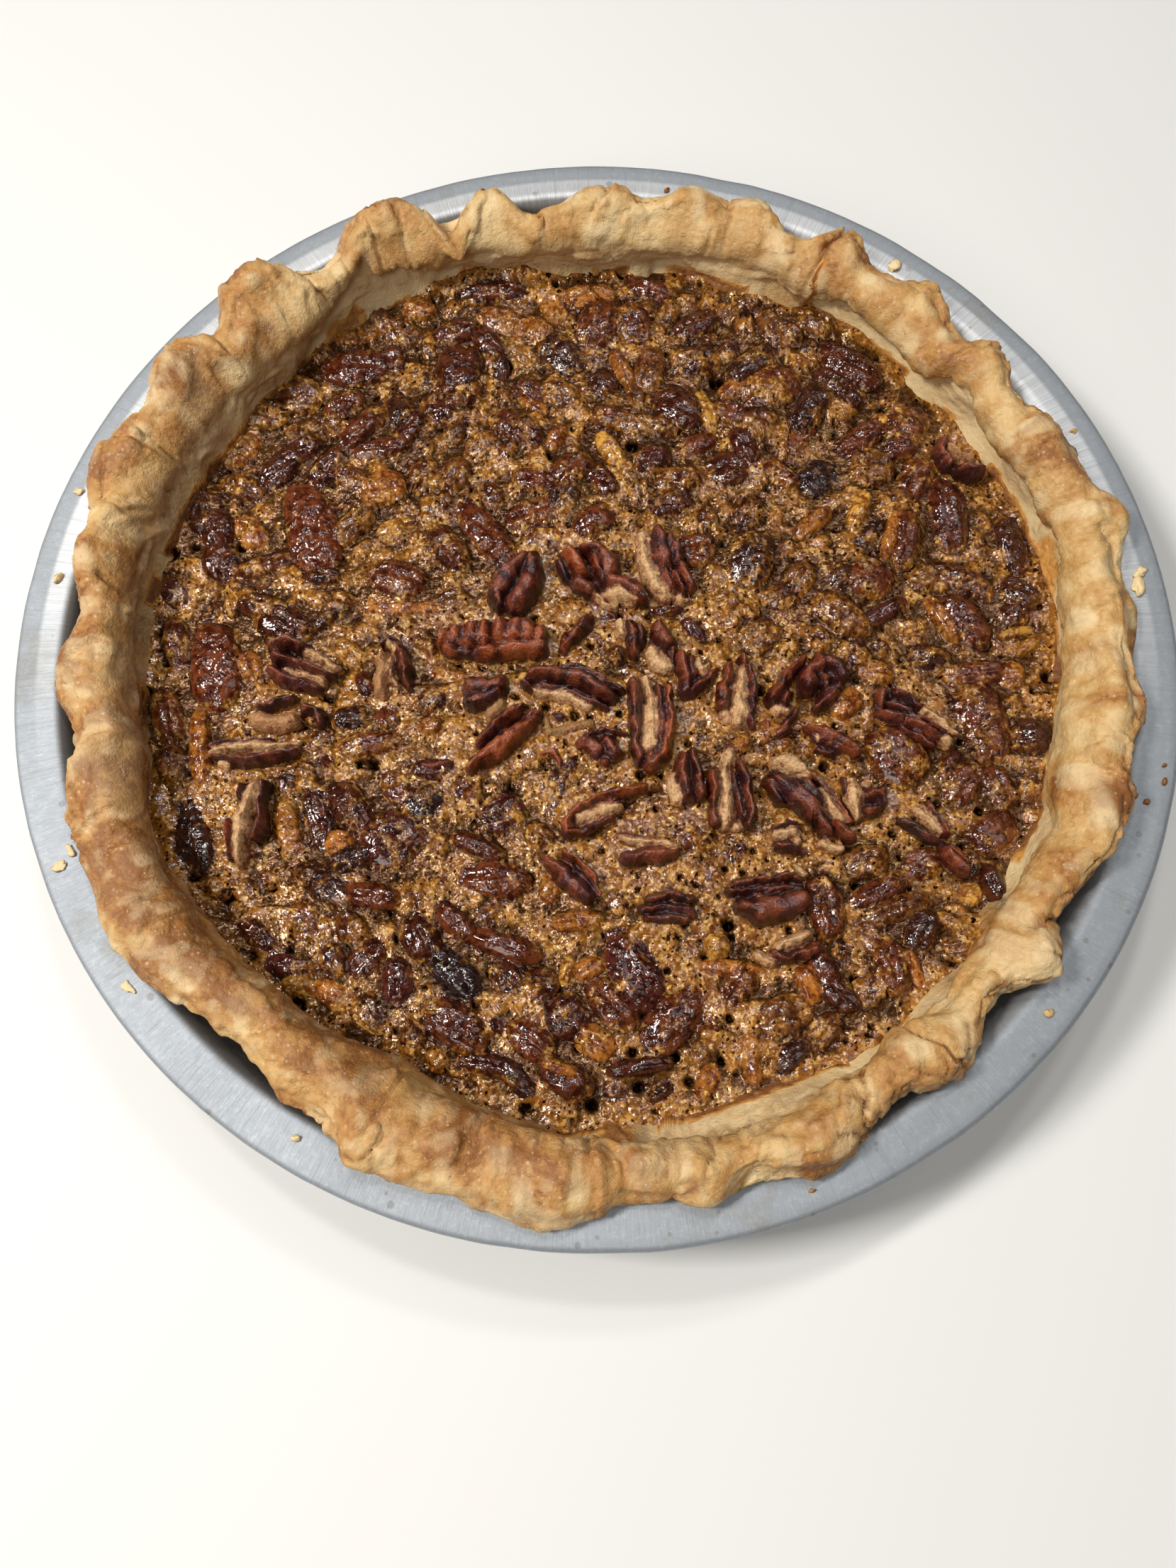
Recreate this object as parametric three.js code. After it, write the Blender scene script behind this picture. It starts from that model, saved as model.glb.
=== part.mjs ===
// A whole pecan pie in its round tin, in millimetres, +Z up.
// The origin is the centre of the tin's flat underside.
// The tin is spun sheet with a flat flange and a rolled edge. The crust is one shell of
// pastry: floor, wall and a hand-folded rim that laps over the flange in uneven folds.
// The filling is set custard up to its level, and the loose pecan halves lie on top of it.
import * as THREE from 'three';

// ---- driving dimensions -------------------------------------------------------------
const PAN_RADIUS = 127;          // outside of the rolled edge
const PAN_HEIGHT = 32;           // underside to the top of the flange
const SHEET = 1;                 // thickness of the tin
const WALL_LEAN = THREE.MathUtils.degToRad(38);    // wall off the vertical
const LIP_RADIUS = 119;          // where the flange starts to turn down into the wall
const LIP_BEND = 5;              // radius of that turn, on the inside of the tin
const LIP_BEND_MIDDLE = THREE.MathUtils.degToRad(65);    // where the crust follows that turn
const FOOT_BEND = 4;             // radius between wall and base
const EDGE_CURL = 0.9;           // middle radius of the rolled edge
const GAP = 0.3;                 // between pieces that touch
const PAN_GAP = 0.6;             // crust to tin, with room for the flats of both circles

const FLOOR_THICKNESS = 4;       // pastry under the filling
const WALL_THICKNESS = 4.3;      // pastry beside the filling, measured level
const EDGE_THICKNESS = 4.6;      // pastry at the outer edge of a fold
const RIM_INNER_RADIUS = 104.4;  // inner edge of the folded rim, on average
const FILLING_LEVEL = 22;        // middle height of the filling's top
const FILLING_SWELL = 0.45;      // how far that top rises and falls
const FILLING_SIDE_GAP = 0.6;    // filling to crust, measured level against a leaning wall
const EDGE_DROP = 1.2;           // the filling's edge lies this much lower than its middle
const NUT_FLOOR = FILLING_LEVEL + FILLING_SWELL + GAP + 0.05;    // underside of the loose nuts

const TIN_SEGMENTS = 64;
const CRUST_SEGMENTS = 120;
const FILLING_SEGMENTS = 60;

// The folds and dips of the rim, in order round the pie from the +X side:
// [angle in degrees, how far it reaches from the centre, how high it stands on the flange].
const FOLDS = [
  [1, 118, 7.5], [5, 116, 7], [12, 119.4, 8], [19, 117, 7.5], [22, 117.8, 8],
  [31, 113, 6.8], [35, 117.4, 7.6], [39.5, 111.5, 6.4], [46.5, 117.4, 8], [53, 113.5, 7.2],
  [58, 118.4, 9], [64.5, 112, 6.4], [69, 117.4, 8], [73, 115, 7], [77, 117.4, 8.6],
  [82.5, 112.5, 7], [87.5, 116, 8], [97, 110, 6.4], [102, 116.8, 8.6], [108.5, 113, 7.4],
  [115, 119.4, 10], [125.5, 114.4, 7], [132, 121.5, 11.6], [141, 115, 8], [147, 120.4, 9.6],
  [153, 116.5, 8], [159.5, 120.4, 9], [167.5, 115.5, 7], [172, 117, 7.4], [178, 111.5, 6],
  [185, 117, 7.4], [194.5, 112.5, 6], [199.5, 118.5, 7], [207, 117, 6.6], [214, 119.4, 7],
  [230, 113.2, 6.4], [238, 117.3, 7], [241.5, 116.6, 7], [246, 120.4, 8], [250.5, 121, 8],
  [255.5, 120, 7.4], [266.5, 123, 8.8], [274.3, 117, 6.8], [279, 120.6, 8], [285, 118.7, 7.4],
  [290.5, 122, 9.6], [300.3, 114.8, 7], [306.5, 117.7, 8], [313.5, 112, 6.4], [319, 118, 8],
  [324, 112, 6.4], [335, 118, 8], [342, 115.3, 7], [350, 118, 8], [355.8, 115.2, 7],
];

// The loose nuts: [x, y of the middle, length, width, height, heading in degrees, bend].
const NUTS = [
  [-18.2, 15.8, 15.5, 10.0, 6.0, 60, 0.6], [-2.4, 19.6, 13.0, 11.0, 6.5, -38, -0.8],
  [16.4, 18.8, 21.5, 9.5, 6.0, -66, 0.5], [-23.0, 1.6, 26.0, 9.0, 6.5, 2, 1.2],
  [-4.0, 2.4, 9.5, 4.6, 4.0, 56, 0.3], [8.3, 2.4, 8.0, 6.2, 4.5, 80, 0.2],
  [14.4, -0.9, 11.6, 5.4, 4.8, -76, 0.4], [22.2, -7.4, 10.5, 7.2, 5.0, -62, -0.6],
  [31.9, -10.8, 17.5, 7.4, 5.4, 84, 0.4], [41.0, -9.6, 14.5, 5.2, 5.0, 56, 0.5],
  [51.0, -9.8, 13.0, 9.6, 6.0, 50, 0.8], [-5.2, -10.4, 23.0, 7.6, 6.0, -25, 1.0],
  [-25.2, -12.0, 10.5, 8.0, 5.0, 10, 0.2], [-20.8, -22.4, 21.5, 8.8, 5.6, 42, 0.5],
  [12.4, -20.6, 22.0, 8.0, 5.8, 88, 1.0], [1.4, -24.2, 12.0, 8.6, 3.6, -5, 0.5],
  [52.2, -24.4, 12.5, 6.0, 4.6, -34, 0.5], [70.4, -17.8, 20.5, 8.6, 5.6, -38, 0.5],
  [20.4, -33.0, 12.5, 6.2, 5.0, 84, 0.3], [28.7, -36.0, 17.5, 7.6, 5.6, 87, 0.3],
  [44.4, -35.8, 24.0, 9.8, 6.6, -51, -0.8], [57.4, -36.6, 11.0, 8.2, 5.4, 60, 0.6],
  [39.7, -45.8, 8.6, 6.8, 4.8, 70, 0.2], [72.4, -45.2, 20.5, 6.2, 5.4, -52, -1.2],
  [1.0, -37.6, 20.5, 7.6, 5.2, 28, 1.6], [10.6, -47.4, 13.5, 6.2, 4.6, -5, 0.6],
  [-6.0, -53.0, 17.0, 7.0, 5.4, -50, 0.8], [35.8, -57.4, 18.0, 10.6, 6.4, 1, 0.3],
  [15.1, -59.6, 14.0, 8.8, 3.8, -8, 0.3], [39.6, -68.4, 15.5, 6.8, 5.2, 18, 0.4],
  [-66.0, -4.2, 17.0, 11.4, 6.4, -28, 0.6], [-45.6, -5.4, 15.0, 8.2, 6.0, -70, 0.6],
  [-71.6, -16.4, 15.0, 7.2, 4.6, 4, 0.2], [-77.0, -24.8, 20.5, 6.0, 5.2, 7, 0.6],
  [-76.6, -40.2, 19.5, 8.8, 5.8, 81, 0.6], [86.4, 43.4, 17.5, 8.8, 6.0, -52, 0.4],
];

// ---- finishes -------------------------------------------------------------------------
const ALUMINIUM = new THREE.MeshStandardMaterial({ color: 0xb4b9bf, roughness: 0.38, metalness: 1 });
const PASTRY = new THREE.MeshStandardMaterial({ color: 0xcf9b5c, roughness: 0.75, metalness: 0 });
const CUSTARD = new THREE.MeshStandardMaterial({ color: 0x8a5a22, roughness: 0.35, metalness: 0 });
const NUT_SKIN = new THREE.MeshStandardMaterial({ color: 0x5e2c1a, roughness: 0.5, metalness: 0 });

const pie = new THREE.Group();

function addPiece(name, geometry, material) {
  const mesh = new THREE.Mesh(geometry, material);
  mesh.name = name;
  pie.add(mesh);
  return mesh;
}

// A closed skin over equal rings of points, with one pole before the first ring and one
// after the last. Rings run counter-clockwise as seen from the first pole.
function skinOverRings(rings, firstPole, lastPole) {
  const size = rings[0].length;
  const positions = [];
  rings.flat().concat([firstPole, lastPole]).forEach((p) => positions.push(p.x, p.y, p.z));
  const first = rings.length * size;
  const last = first + 1;
  const faces = [];
  for (let i = 0; i < size; i += 1) {
    const next = (i + 1) % size;
    faces.push(first, i, next);
    for (let ring = 0; ring + 1 < rings.length; ring += 1) {
      const a = ring * size;
      const b = a + size;
      faces.push(a + i, b + i, b + next);
      faces.push(a + i, b + next, a + next);
    }
    const end = (rings.length - 1) * size;
    faces.push(last, end + next, end + i);
  }
  const geometry = new THREE.BufferGeometry();
  geometry.setAttribute('position', new THREE.Float32BufferAttribute(positions, 3));
  geometry.setIndex(faces);
  geometry.computeVertexNormals();
  return geometry;
}

// ---- tin ------------------------------------------------------------------------------
// The lip turns about this point; its inside surface is LIP_BEND away.
const lipCentre = new THREE.Vector2(LIP_RADIUS, PAN_HEIGHT - LIP_BEND);
const wallNormal = new THREE.Vector2(-Math.cos(WALL_LEAN), Math.sin(WALL_LEAN));

// Radius of the tin's inside at a height below the lip, kept clear by the given distance.
function panInside(height, clearance = 0) {
  const top = lipCentre.clone().addScaledVector(wallNormal, LIP_BEND + clearance);
  if (height > top.y) {
    const reach = LIP_BEND + clearance;
    const rise = Math.min(height - lipCentre.y, reach);
    return lipCentre.x - Math.sqrt(reach * reach - rise * rise);
  }
  return top.x - (top.y - height) * Math.tan(WALL_LEAN);
}

function arcPoints(centre, radius, from, to, steps) {
  const points = [];
  for (let i = 0; i <= steps; i += 1) {
    const a = from + (to - from) * (i / steps);
    points.push(new THREE.Vector2(centre.x + radius * Math.cos(a), centre.y + radius * Math.sin(a)));
  }
  return points;
}

// Each point of an open path moved sideways by a distance, along its mean normal.
function offsetPath(path, distance) {
  return path.map((point, i) => {
    const before = path[Math.max(i - 1, 0)];
    const after = path[Math.min(i + 1, path.length - 1)];
    const along = after.clone().sub(before).normalize();
    return new THREE.Vector2(point.x - along.y * distance, point.y + along.x * distance);
  });
}

function tinProfile() {
  const half = SHEET / 2;
  const wallAngle = Math.PI - WALL_LEAN;
  const footRadius = panInside(SHEET) + half;
  const footReach = FOOT_BEND * Math.tan((Math.PI / 2 - WALL_LEAN) / 2);
  const footCentre = new THREE.Vector2(footRadius - footReach, half + FOOT_BEND);
  const curlCentre = new THREE.Vector2(PAN_RADIUS - half - EDGE_CURL, PAN_HEIGHT - half - EDGE_CURL);
  const path = [
    new THREE.Vector2(0, half),
    new THREE.Vector2(footCentre.x - FOOT_BEND, half),
    ...arcPoints(footCentre, FOOT_BEND, -Math.PI / 2, -WALL_LEAN, 1),
    ...arcPoints(lipCentre, LIP_BEND - half, wallAngle, Math.PI / 2, 3),
    ...arcPoints(curlCentre, EDGE_CURL, Math.PI / 2, -Math.PI * 0.45, 2),
  ];
  const inside = offsetPath(path, half);
  const outside = offsetPath(path, -half);
  outside[0].x = 0;
  inside[0].x = 0;
  return [...outside, ...inside.reverse()];
}

const tinGeometry = new THREE.LatheGeometry(tinProfile(), TIN_SEGMENTS);
tinGeometry.rotateX(Math.PI / 2);
addPiece('pie_tin', tinGeometry, ALUMINIUM);

// ---- crust ----------------------------------------------------------------------------
// Reach and height of the rim at an angle, eased from one fold or dip to the next.
function rimAt(degrees) {
  const count = FOLDS.length;
  let after = FOLDS.findIndex((fold) => fold[0] > degrees);
  if (after < 0) after = count;
  const from = FOLDS[(after - 1 + count) % count];
  const to = FOLDS[after % count];
  const span = (to[0] - from[0] + 360) % 360;
  const ease = THREE.MathUtils.smoothstep((degrees - from[0] + 360) % 360, 0, span);
  return {
    reach: THREE.MathUtils.lerp(from[1], to[1], ease),
    rise: THREE.MathUtils.lerp(from[2], to[2], ease),
  };
}

function bell(degrees, middle, width) {
  const away = ((degrees - middle + 540) % 360) - 180;
  return Math.exp(-((away / width) ** 2));
}

// The rim is pushed outwards along the near side and sags inwards left of it.
function rimInner(degrees) {
  const slow = 0.9 * Math.sin(THREE.MathUtils.degToRad(7 * degrees));
  return RIM_INNER_RADIUS + slow + 3.6 * bell(degrees, 283, 30) - 1.4 * bell(degrees, 236, 16)
    + 1.8 * bell(degrees, 152, 22);
}

const floorTop = SHEET + PAN_GAP + FLOOR_THICKNESS;

// Inside radius of the crust's wall at a height up to the filling's level.
function wallInside(height) {
  return panInside(height, PAN_GAP) - WALL_THICKNESS;
}

// One section of the crust as [radius, height] pairs, from the floor inside, over the rim
// and down the outside of the wall to the underside.
function crustSection(degrees) {
  const { reach, rise } = rimAt(degrees);
  const inner = rimInner(degrees);
  const middle = (reach + inner) / 2;
  const half = (reach - inner) / 2;
  const crest = PAN_HEIGHT + rise;
  const seat = PAN_HEIGHT + PAN_GAP;
  const edge = seat + EDGE_THICKNESS / 2;
  const bendHeight = lipCentre.y + (LIP_BEND + PAN_GAP) * Math.sin(LIP_BEND_MIDDLE);
  const clear = (radius, height) => Math.min(radius, panInside(height, PAN_GAP));
  return [
    [wallInside(floorTop), floorTop],
    [wallInside(FILLING_LEVEL), FILLING_LEVEL],
    [inner + 1.2, 29],
    [inner, 33.5],
    [inner + 0.22 * half, crest - 0.34 * rise],
    [middle - 0.42 * half, crest - 0.05 * rise],
    [middle + 0.12 * half, crest],
    [middle + 0.62 * half, crest - 0.2 * rise],
    [reach, edge],
    [reach - 0.9, seat + 0.7],
    [Math.min(LIP_RADIUS, reach - 1.6), seat],
    [clear(reach - 1.6, bendHeight), bendHeight],
    [clear(reach - 1.2, 30), 30],
    [panInside(FILLING_LEVEL, PAN_GAP), FILLING_LEVEL],
    [panInside(SHEET + PAN_GAP + FOOT_BEND, PAN_GAP), SHEET + PAN_GAP + FOOT_BEND],
    [panInside(SHEET, PAN_GAP) - FOOT_BEND, SHEET + PAN_GAP],
  ];
}

function ringPoint(radius, height, turn) {
  return new THREE.Vector3(radius * Math.cos(turn), radius * Math.sin(turn), height);
}

function crustGeometry() {
  const sections = [];
  for (let i = 0; i < CRUST_SEGMENTS; i += 1) {
    const degrees = (360 * i) / CRUST_SEGMENTS;
    const turn = THREE.MathUtils.degToRad(degrees);
    sections.push(crustSection(degrees).map(([radius, height]) => ringPoint(radius, height, turn)));
  }
  const rings = sections[0].map((_, row) => sections.map((section) => section[row]));
  return skinOverRings(rings, new THREE.Vector3(0, 0, floorTop), new THREE.Vector3(0, 0, SHEET + PAN_GAP));
}

addPiece('crust', crustGeometry(), PASTRY);

// ---- filling --------------------------------------------------------------------------
function fillingTop(x, y) {
  const swell = Math.sin(x / 11 + 1.3) * Math.sin(y / 13 + 0.4) + 0.4 * Math.sin((x - y) / 7);
  return FILLING_LEVEL + (FILLING_SWELL * swell) / 1.4;
}

function fillingGeometry() {
  const edgeHeight = FILLING_LEVEL - EDGE_DROP;
  const edgeRadius = wallInside(edgeHeight) - FILLING_SIDE_GAP;
  const footRadius = wallInside(floorTop + GAP) - FILLING_SIDE_GAP;
  const rings = [];
  const addRing = (radius, heightAt) => {
    const ring = [];
    for (let i = 0; i < FILLING_SEGMENTS; i += 1) {
      const point = ringPoint(radius, 0, (2 * Math.PI * i) / FILLING_SEGMENTS);
      point.z = heightAt(point.x, point.y);
      ring.push(point);
    }
    rings.push(ring);
  };
  [0.3, 0.6, 0.86].forEach((part) => addRing(edgeRadius * part, fillingTop));
  addRing(edgeRadius, () => edgeHeight);
  addRing(footRadius, () => floorTop + GAP);
  return skinOverRings(
    rings,
    new THREE.Vector3(0, 0, fillingTop(0, 0)),
    new THREE.Vector3(0, 0, floorTop + GAP),
  );
}

addPiece('filling', fillingGeometry(), CUSTARD);

// ---- loose pecans ---------------------------------------------------------------------
// Across a half pecan: two lobes with a groove between them over a flatter underside,
// as parts of the half width and of the height.
const NUT_SECTION = [
  [0, 0], [-0.85, 0.1], [-1, 0.5], [-0.5, 0.98], [0, 0.8], [0.5, 0.98], [1, 0.5], [0.85, 0.1],
];
// Stations along the nut as parts of the half length, blunt at the far end.
const NUT_STATIONS = [-0.9, -0.5, 0.05, 0.58, 0.92];

function nutGeometry(length, width, height, bend) {
  const rings = NUT_STATIONS.map((station) => {
    const full = Math.sqrt(Math.max(1 - Math.abs(station) ** 2.6, 0)) * (1 - 0.1 * station);
    const lift = 0.4 * height * (1 - full);
    const sway = bend * (1 - station * station);
    return NUT_SECTION.map(([across, up]) => new THREE.Vector3(
      (station * length) / 2,
      (across * full * width) / 2 + sway,
      lift + up * full * height,
    ));
  });
  const pole = (side) => new THREE.Vector3((side * length) / 2, 0, 0.45 * height);
  return skinOverRings(rings, pole(-1), pole(1));
}

NUTS.forEach(([x, y, length, width, height, heading, bend], index) => {
  const name = `pecan_${String(index + 1).padStart(2, '0')}`;
  const nut = addPiece(name, nutGeometry(length, width, height, bend), NUT_SKIN.clone());
  nut.position.set(x, y, NUT_FLOOR);
  nut.rotation.z = THREE.MathUtils.degToRad(heading);
});

export default pie;
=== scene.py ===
# %% [markdown]
# # A pecan pie in its own tin
# The real thing is four materials in one small object: spun aluminium, hand-folded
# pastry, a set syrup filling full of bubbles, and baked pecans. The frame holds the
# solids at their true sizes. Here each one gets the surface that the oven gave it.
# All lengths below are in millimetres and turn into metres when a mesh is made.

# %% Load the frame
import math

import bmesh
import bpy
import numpy as np
from mathutils import Matrix, Vector
from mathutils.bvhtree import BVHTree


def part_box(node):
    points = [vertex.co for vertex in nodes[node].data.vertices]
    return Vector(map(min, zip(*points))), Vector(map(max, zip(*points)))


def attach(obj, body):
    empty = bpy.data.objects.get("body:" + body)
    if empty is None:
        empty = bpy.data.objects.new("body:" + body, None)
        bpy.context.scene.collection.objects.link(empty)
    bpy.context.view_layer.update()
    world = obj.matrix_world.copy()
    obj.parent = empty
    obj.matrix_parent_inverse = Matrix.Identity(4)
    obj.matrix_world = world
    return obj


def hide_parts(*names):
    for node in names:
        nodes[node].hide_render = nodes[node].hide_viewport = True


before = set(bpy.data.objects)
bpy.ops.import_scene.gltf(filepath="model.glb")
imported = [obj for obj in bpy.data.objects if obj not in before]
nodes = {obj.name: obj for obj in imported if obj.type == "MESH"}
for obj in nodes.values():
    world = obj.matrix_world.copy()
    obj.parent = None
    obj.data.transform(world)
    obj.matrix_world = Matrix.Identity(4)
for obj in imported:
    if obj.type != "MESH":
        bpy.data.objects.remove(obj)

MM = 0.001
join = np.concatenate
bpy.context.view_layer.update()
print("nodes in the frame:", len(nodes))


# %% [markdown]
# ## Camera and light
# The pie is seen standing at a table: from the near side and steeply from above. The
# lens is a wide one held close, so the near rim is seen from straight above and the
# far rim from well inside the dish. The main light is a window high on the left, so the
# wall nearest to it lies in shade. Two small lamps over the far side give the white glints
# all over the syrup. Two broad dim lights, on the near side and on the right, stand for
# the pale walls of a room.

# %% Camera
CAMERA_PLACE = (-2.2, -104.45, 269.7)
CAMERA_ELEVATION = math.radians(73.58)
CAMERA_ROLL = math.radians(-0.56)
SENSOR = 36
LENS_PER_SENSOR = 1661 / 2212


def look_down(elevation, roll):
    """The rotation of a camera that looks along +Y and down by its elevation."""
    return Matrix.Rotation(math.pi / 2 - elevation, 3, "X") @ Matrix.Rotation(roll, 3, "Z")


lens_data = bpy.data.cameras.new("table_view")
lens_data.sensor_fit = "VERTICAL"
lens_data.sensor_height = SENSOR
lens_data.lens = LENS_PER_SENSOR * SENSOR
lens_data.clip_start = 0.01
camera = bpy.data.objects.new("table_view", lens_data)
aim = look_down(CAMERA_ELEVATION, CAMERA_ROLL).to_4x4()
camera.matrix_world = Matrix.Translation(Vector(CAMERA_PLACE) * MM) @ aim
bpy.context.scene.collection.objects.link(camera)
bpy.context.scene.camera = camera
print("camera height over the table, mm:", CAMERA_PLACE[2])

# %% Lights and floor
# Each row: name, angle around from +X, angle above the table, distance, size, watts, colour.
LIGHTS = [
    ("window", 184, 55, 1100, 190, 8.6, (1, 0.97, 0.92)),
    ("near_side", 242, 50, 1300, 560, 3.8, (1, 0.96, 0.9)),
    ("right_side", 24, 62, 1300, 600, 1.7, (0.97, 0.98, 1)),
    ("lamp_1", 72, 63, 1300, 90, 1.9, (1, 0.97, 0.93)),
    ("lamp_2", 118, 70, 1300, 100, 3.1, (1, 0.97, 0.93)),
]
ROOM_COLOUR, ROOM_STRENGTH = (0.91, 0.9, 0.88, 1), 0.05


def area_light(name, azimuth, elevation, distance, size, watts, colour):
    """A square light aimed at the pie."""
    data = bpy.data.lights.new(name, "AREA")
    data.size = size * MM
    data.energy = watts
    data.color = colour
    light = bpy.data.objects.new(name, data)
    turn, rise = math.radians(azimuth), math.radians(elevation)
    away = Vector((math.cos(turn) * math.cos(rise), math.sin(turn) * math.cos(rise), math.sin(rise)))
    light.location = away * distance * MM
    light.rotation_euler = away.to_track_quat("Z", "Y").to_euler()
    bpy.context.scene.collection.objects.link(light)


for light in LIGHTS:
    area_light(*light)

world = bpy.data.worlds.new("room")
world.use_nodes = True
background = world.node_tree.nodes["Background"]
background.inputs["Color"].default_value = ROOM_COLOUR
background.inputs["Strength"].default_value = ROOM_STRENGTH
bpy.context.scene.world = world
bpy.context.scene.view_settings.view_transform = "Standard"

FLOOR_HALF = 1500
floor_mesh = bpy.data.meshes.new("floor")
corners = [(x * FLOOR_HALF * MM, y * FLOOR_HALF * MM, 0) for x, y in ((-1, -1), (1, -1), (1, 1), (-1, 1))]
floor_mesh.from_pydata(corners, [], [(0, 1, 2, 3)])
floor = bpy.data.objects.new("floor", floor_mesh)
bpy.context.scene.collection.objects.link(floor)
print("lights:", len(LIGHTS), "floor half side, mm:", FLOOR_HALF)


# %% [markdown]
# ## Noise and mesh helpers
# Every surface here is uneven at several sizes at once. A smooth lattice noise in numpy
# gives the same bumps on each run, and it works on a hundred thousand points at a time.

# %% Noise
def lattice(ix, iy, iz, seed):
    """A steady random number from 0 to 1 for each whole-number cell."""
    h = (ix * 374761393 + iy * 668265263 + iz * 1103515245 + seed * 974634777) & 0xFFFFFFFF
    h = ((h ^ (h >> 13)) * 1274126177) & 0xFFFFFFFF
    return ((h ^ (h >> 16)) & 0xFFFFFF) / 0xFFFFFF


def noise(points, size, seed):
    """Smooth noise from -1 to 1 with bumps of about that size in mm."""
    p = np.asarray(points, float) / size
    cell = np.floor(p).astype(np.int64)
    f = p - cell
    f = f * f * f * (f * (f * 6 - 15) + 10)
    total = 0
    for corner in np.ndindex(2, 2, 2):
        wx, wy, wz = (f[..., k] if side else 1 - f[..., k] for k, side in enumerate(corner))
        ix, iy, iz = (cell[..., k] + side for k, side in enumerate(corner))
        total = total + wx * wy * wz * lattice(ix, iy, iz, seed)
    return total * 2 - 1


def layered_noise(points, size, seed):
    """Noise with finer, weaker layers on top, from about -1 to 1."""
    return sum(noise(points, size / 2**layer, seed + 17 * layer) / 1.7**layer for layer in range(3))


def step(low, high, value):
    """0 below low, 1 above high, eased in between."""
    t = np.clip((value - low) / (high - low), 0, 1)
    return t * t * (3 - 2 * t)


def bell(distance, width):
    return np.exp(-((distance / width) ** 2))


probe = noise(np.random.default_rng(1).random((1000, 3)) * 50, 4, 3)
print("noise spread:", round(float(probe.std()), 3))


# %% Meshes from grids
def mesh_object(name, points, faces, marks=None):
    """A smooth mesh from points in mm, with one number or colour a point for each named mark."""
    mesh = bpy.data.meshes.new(name)
    points = np.asarray(points, float).reshape(-1, 3)
    flat = join([np.asarray(f).reshape(-1) for f in faces])
    sizes = join([np.full(len(f), f.shape[1]) for f in faces])
    mesh.vertices.add(len(points))
    mesh.vertices.foreach_set("co", (points * MM).ravel())
    mesh.loops.add(len(flat))
    mesh.loops.foreach_set("vertex_index", flat)
    mesh.polygons.add(len(sizes))
    mesh.polygons.foreach_set("loop_start", join([[0], np.cumsum(sizes)[:-1]]))
    mesh.update(calc_edges=True)
    mesh.validate()
    mesh.shade_smooth()
    for name_of_mark, values in (marks or {}).items():
        values = np.asarray(values, np.float32)
        if values.ndim == 2:
            attribute = mesh.attributes.new(name_of_mark, "FLOAT_COLOR", "POINT")
            attribute.data.foreach_set("color", np.c_[values, np.ones(len(values), np.float32)].ravel())
        else:
            attribute = mesh.attributes.new(name_of_mark, "FLOAT", "POINT")
            attribute.data.foreach_set("value", values)
    made = bpy.data.objects.new(name, mesh)
    bpy.context.scene.collection.objects.link(made)
    return made


def measure(piece):
    """Print a mesh's size, and whether it is closed with its faces outward."""
    shape = bmesh.new()
    shape.from_mesh(piece.data)
    open_edges = sum(1 for edge in shape.edges if not edge.is_manifold)
    volume = shape.calc_volume(signed=True) * 1e6
    triangles = sum(len(p.vertices) - 2 for p in piece.data.polygons)
    print(piece.name, "triangles", triangles, "cm3", round(volume, 2), "open edges", open_edges)
    shape.free()


# %% Faces and circles
def grid_faces(rows, columns, closed_columns=True):
    """Quads over a grid of points that may close on itself along its columns."""
    r = np.arange(rows - 1)[:, None]
    c = np.arange(columns if closed_columns else columns - 1)[None, :]
    n = (c + 1) % columns
    quads = np.stack([r * columns + c, r * columns + n, (r + 1) * columns + n, (r + 1) * columns + c], -1)
    return quads.reshape(-1, 4)


def fan_faces(ring_start, columns, pole, outward):
    """Triangles from a ring of points to one pole."""
    c = np.arange(columns)
    n = (c + 1) % columns
    order = [ring_start + c, ring_start + n] if outward else [ring_start + n, ring_start + c]
    return np.stack([*order, np.full(columns, pole)], -1)


def capped_faces(rows, columns, outward=True):
    """A grid that closes on itself, with a fan to a pole at each end. The two poles come last."""
    count = rows * columns
    grid = grid_faces(rows, columns)
    return [
        grid if outward else grid[:, ::-1],
        fan_faces(0, columns, count, not outward),
        fan_faces(count - columns, columns, count + 1, outward),
    ]


def full_turn(count):
    return np.linspace(0, 2 * math.pi, count, endpoint=False)


def xyz(x, y, z):
    return np.stack(np.broadcast_arrays(x, y, z), -1)


def circle_points(radius, height, turn):
    return xyz(radius * np.cos(turn), radius * np.sin(turn), height)


def rows_of(text):
    """A table kept as text: commas between rows, blanks between values, colour letters left as text."""
    rows = [row.split() for row in text.split(",")]
    return [tuple(float(v) if v[-1].isdigit() else v for v in row) for row in rows]


# %% [markdown]
# ## Node helpers
# A finish is a chain of small nodes. These calls keep each material to one screen: they
# place a node, set its plain values and wire the rest.

# %% Placing nodes
def wire(tree, sockets, values):
    """Link each value that is a socket to the input of that name, and set the plain ones."""
    for key, value in values.items():
        if isinstance(value, bpy.types.NodeSocket):
            tree.links.new(value, sockets[key])
        else:
            sockets[key].default_value = value


def place(tree, kind, inputs=None, **settings):
    """A new node of a kind, such as Math or Bump, with its inputs wired."""
    node = tree.nodes.new("ShaderNode" + kind)
    for key, value in settings.items():
        setattr(node, key, value)
    wire(tree, node.inputs, inputs or {})
    return node


def math_call(operation):
    """A short call for one kind of Math node."""
    def call(tree, first, second, clamp=False):
        node = place(tree, "Math", {0: first, 1: second}, operation=operation, use_clamp=clamp)
        return node.outputs[0]
    return call


times, plus, minus, over, power, larger = (
    math_call(kind) for kind in ("MULTIPLY", "ADD", "SUBTRACT", "DIVIDE", "POWER", "MAXIMUM")
)


def vector_call(tree, operation, first, second):
    return place(tree, "VectorMath", {0: first, 1: second}, operation=operation).outputs[0]


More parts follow.
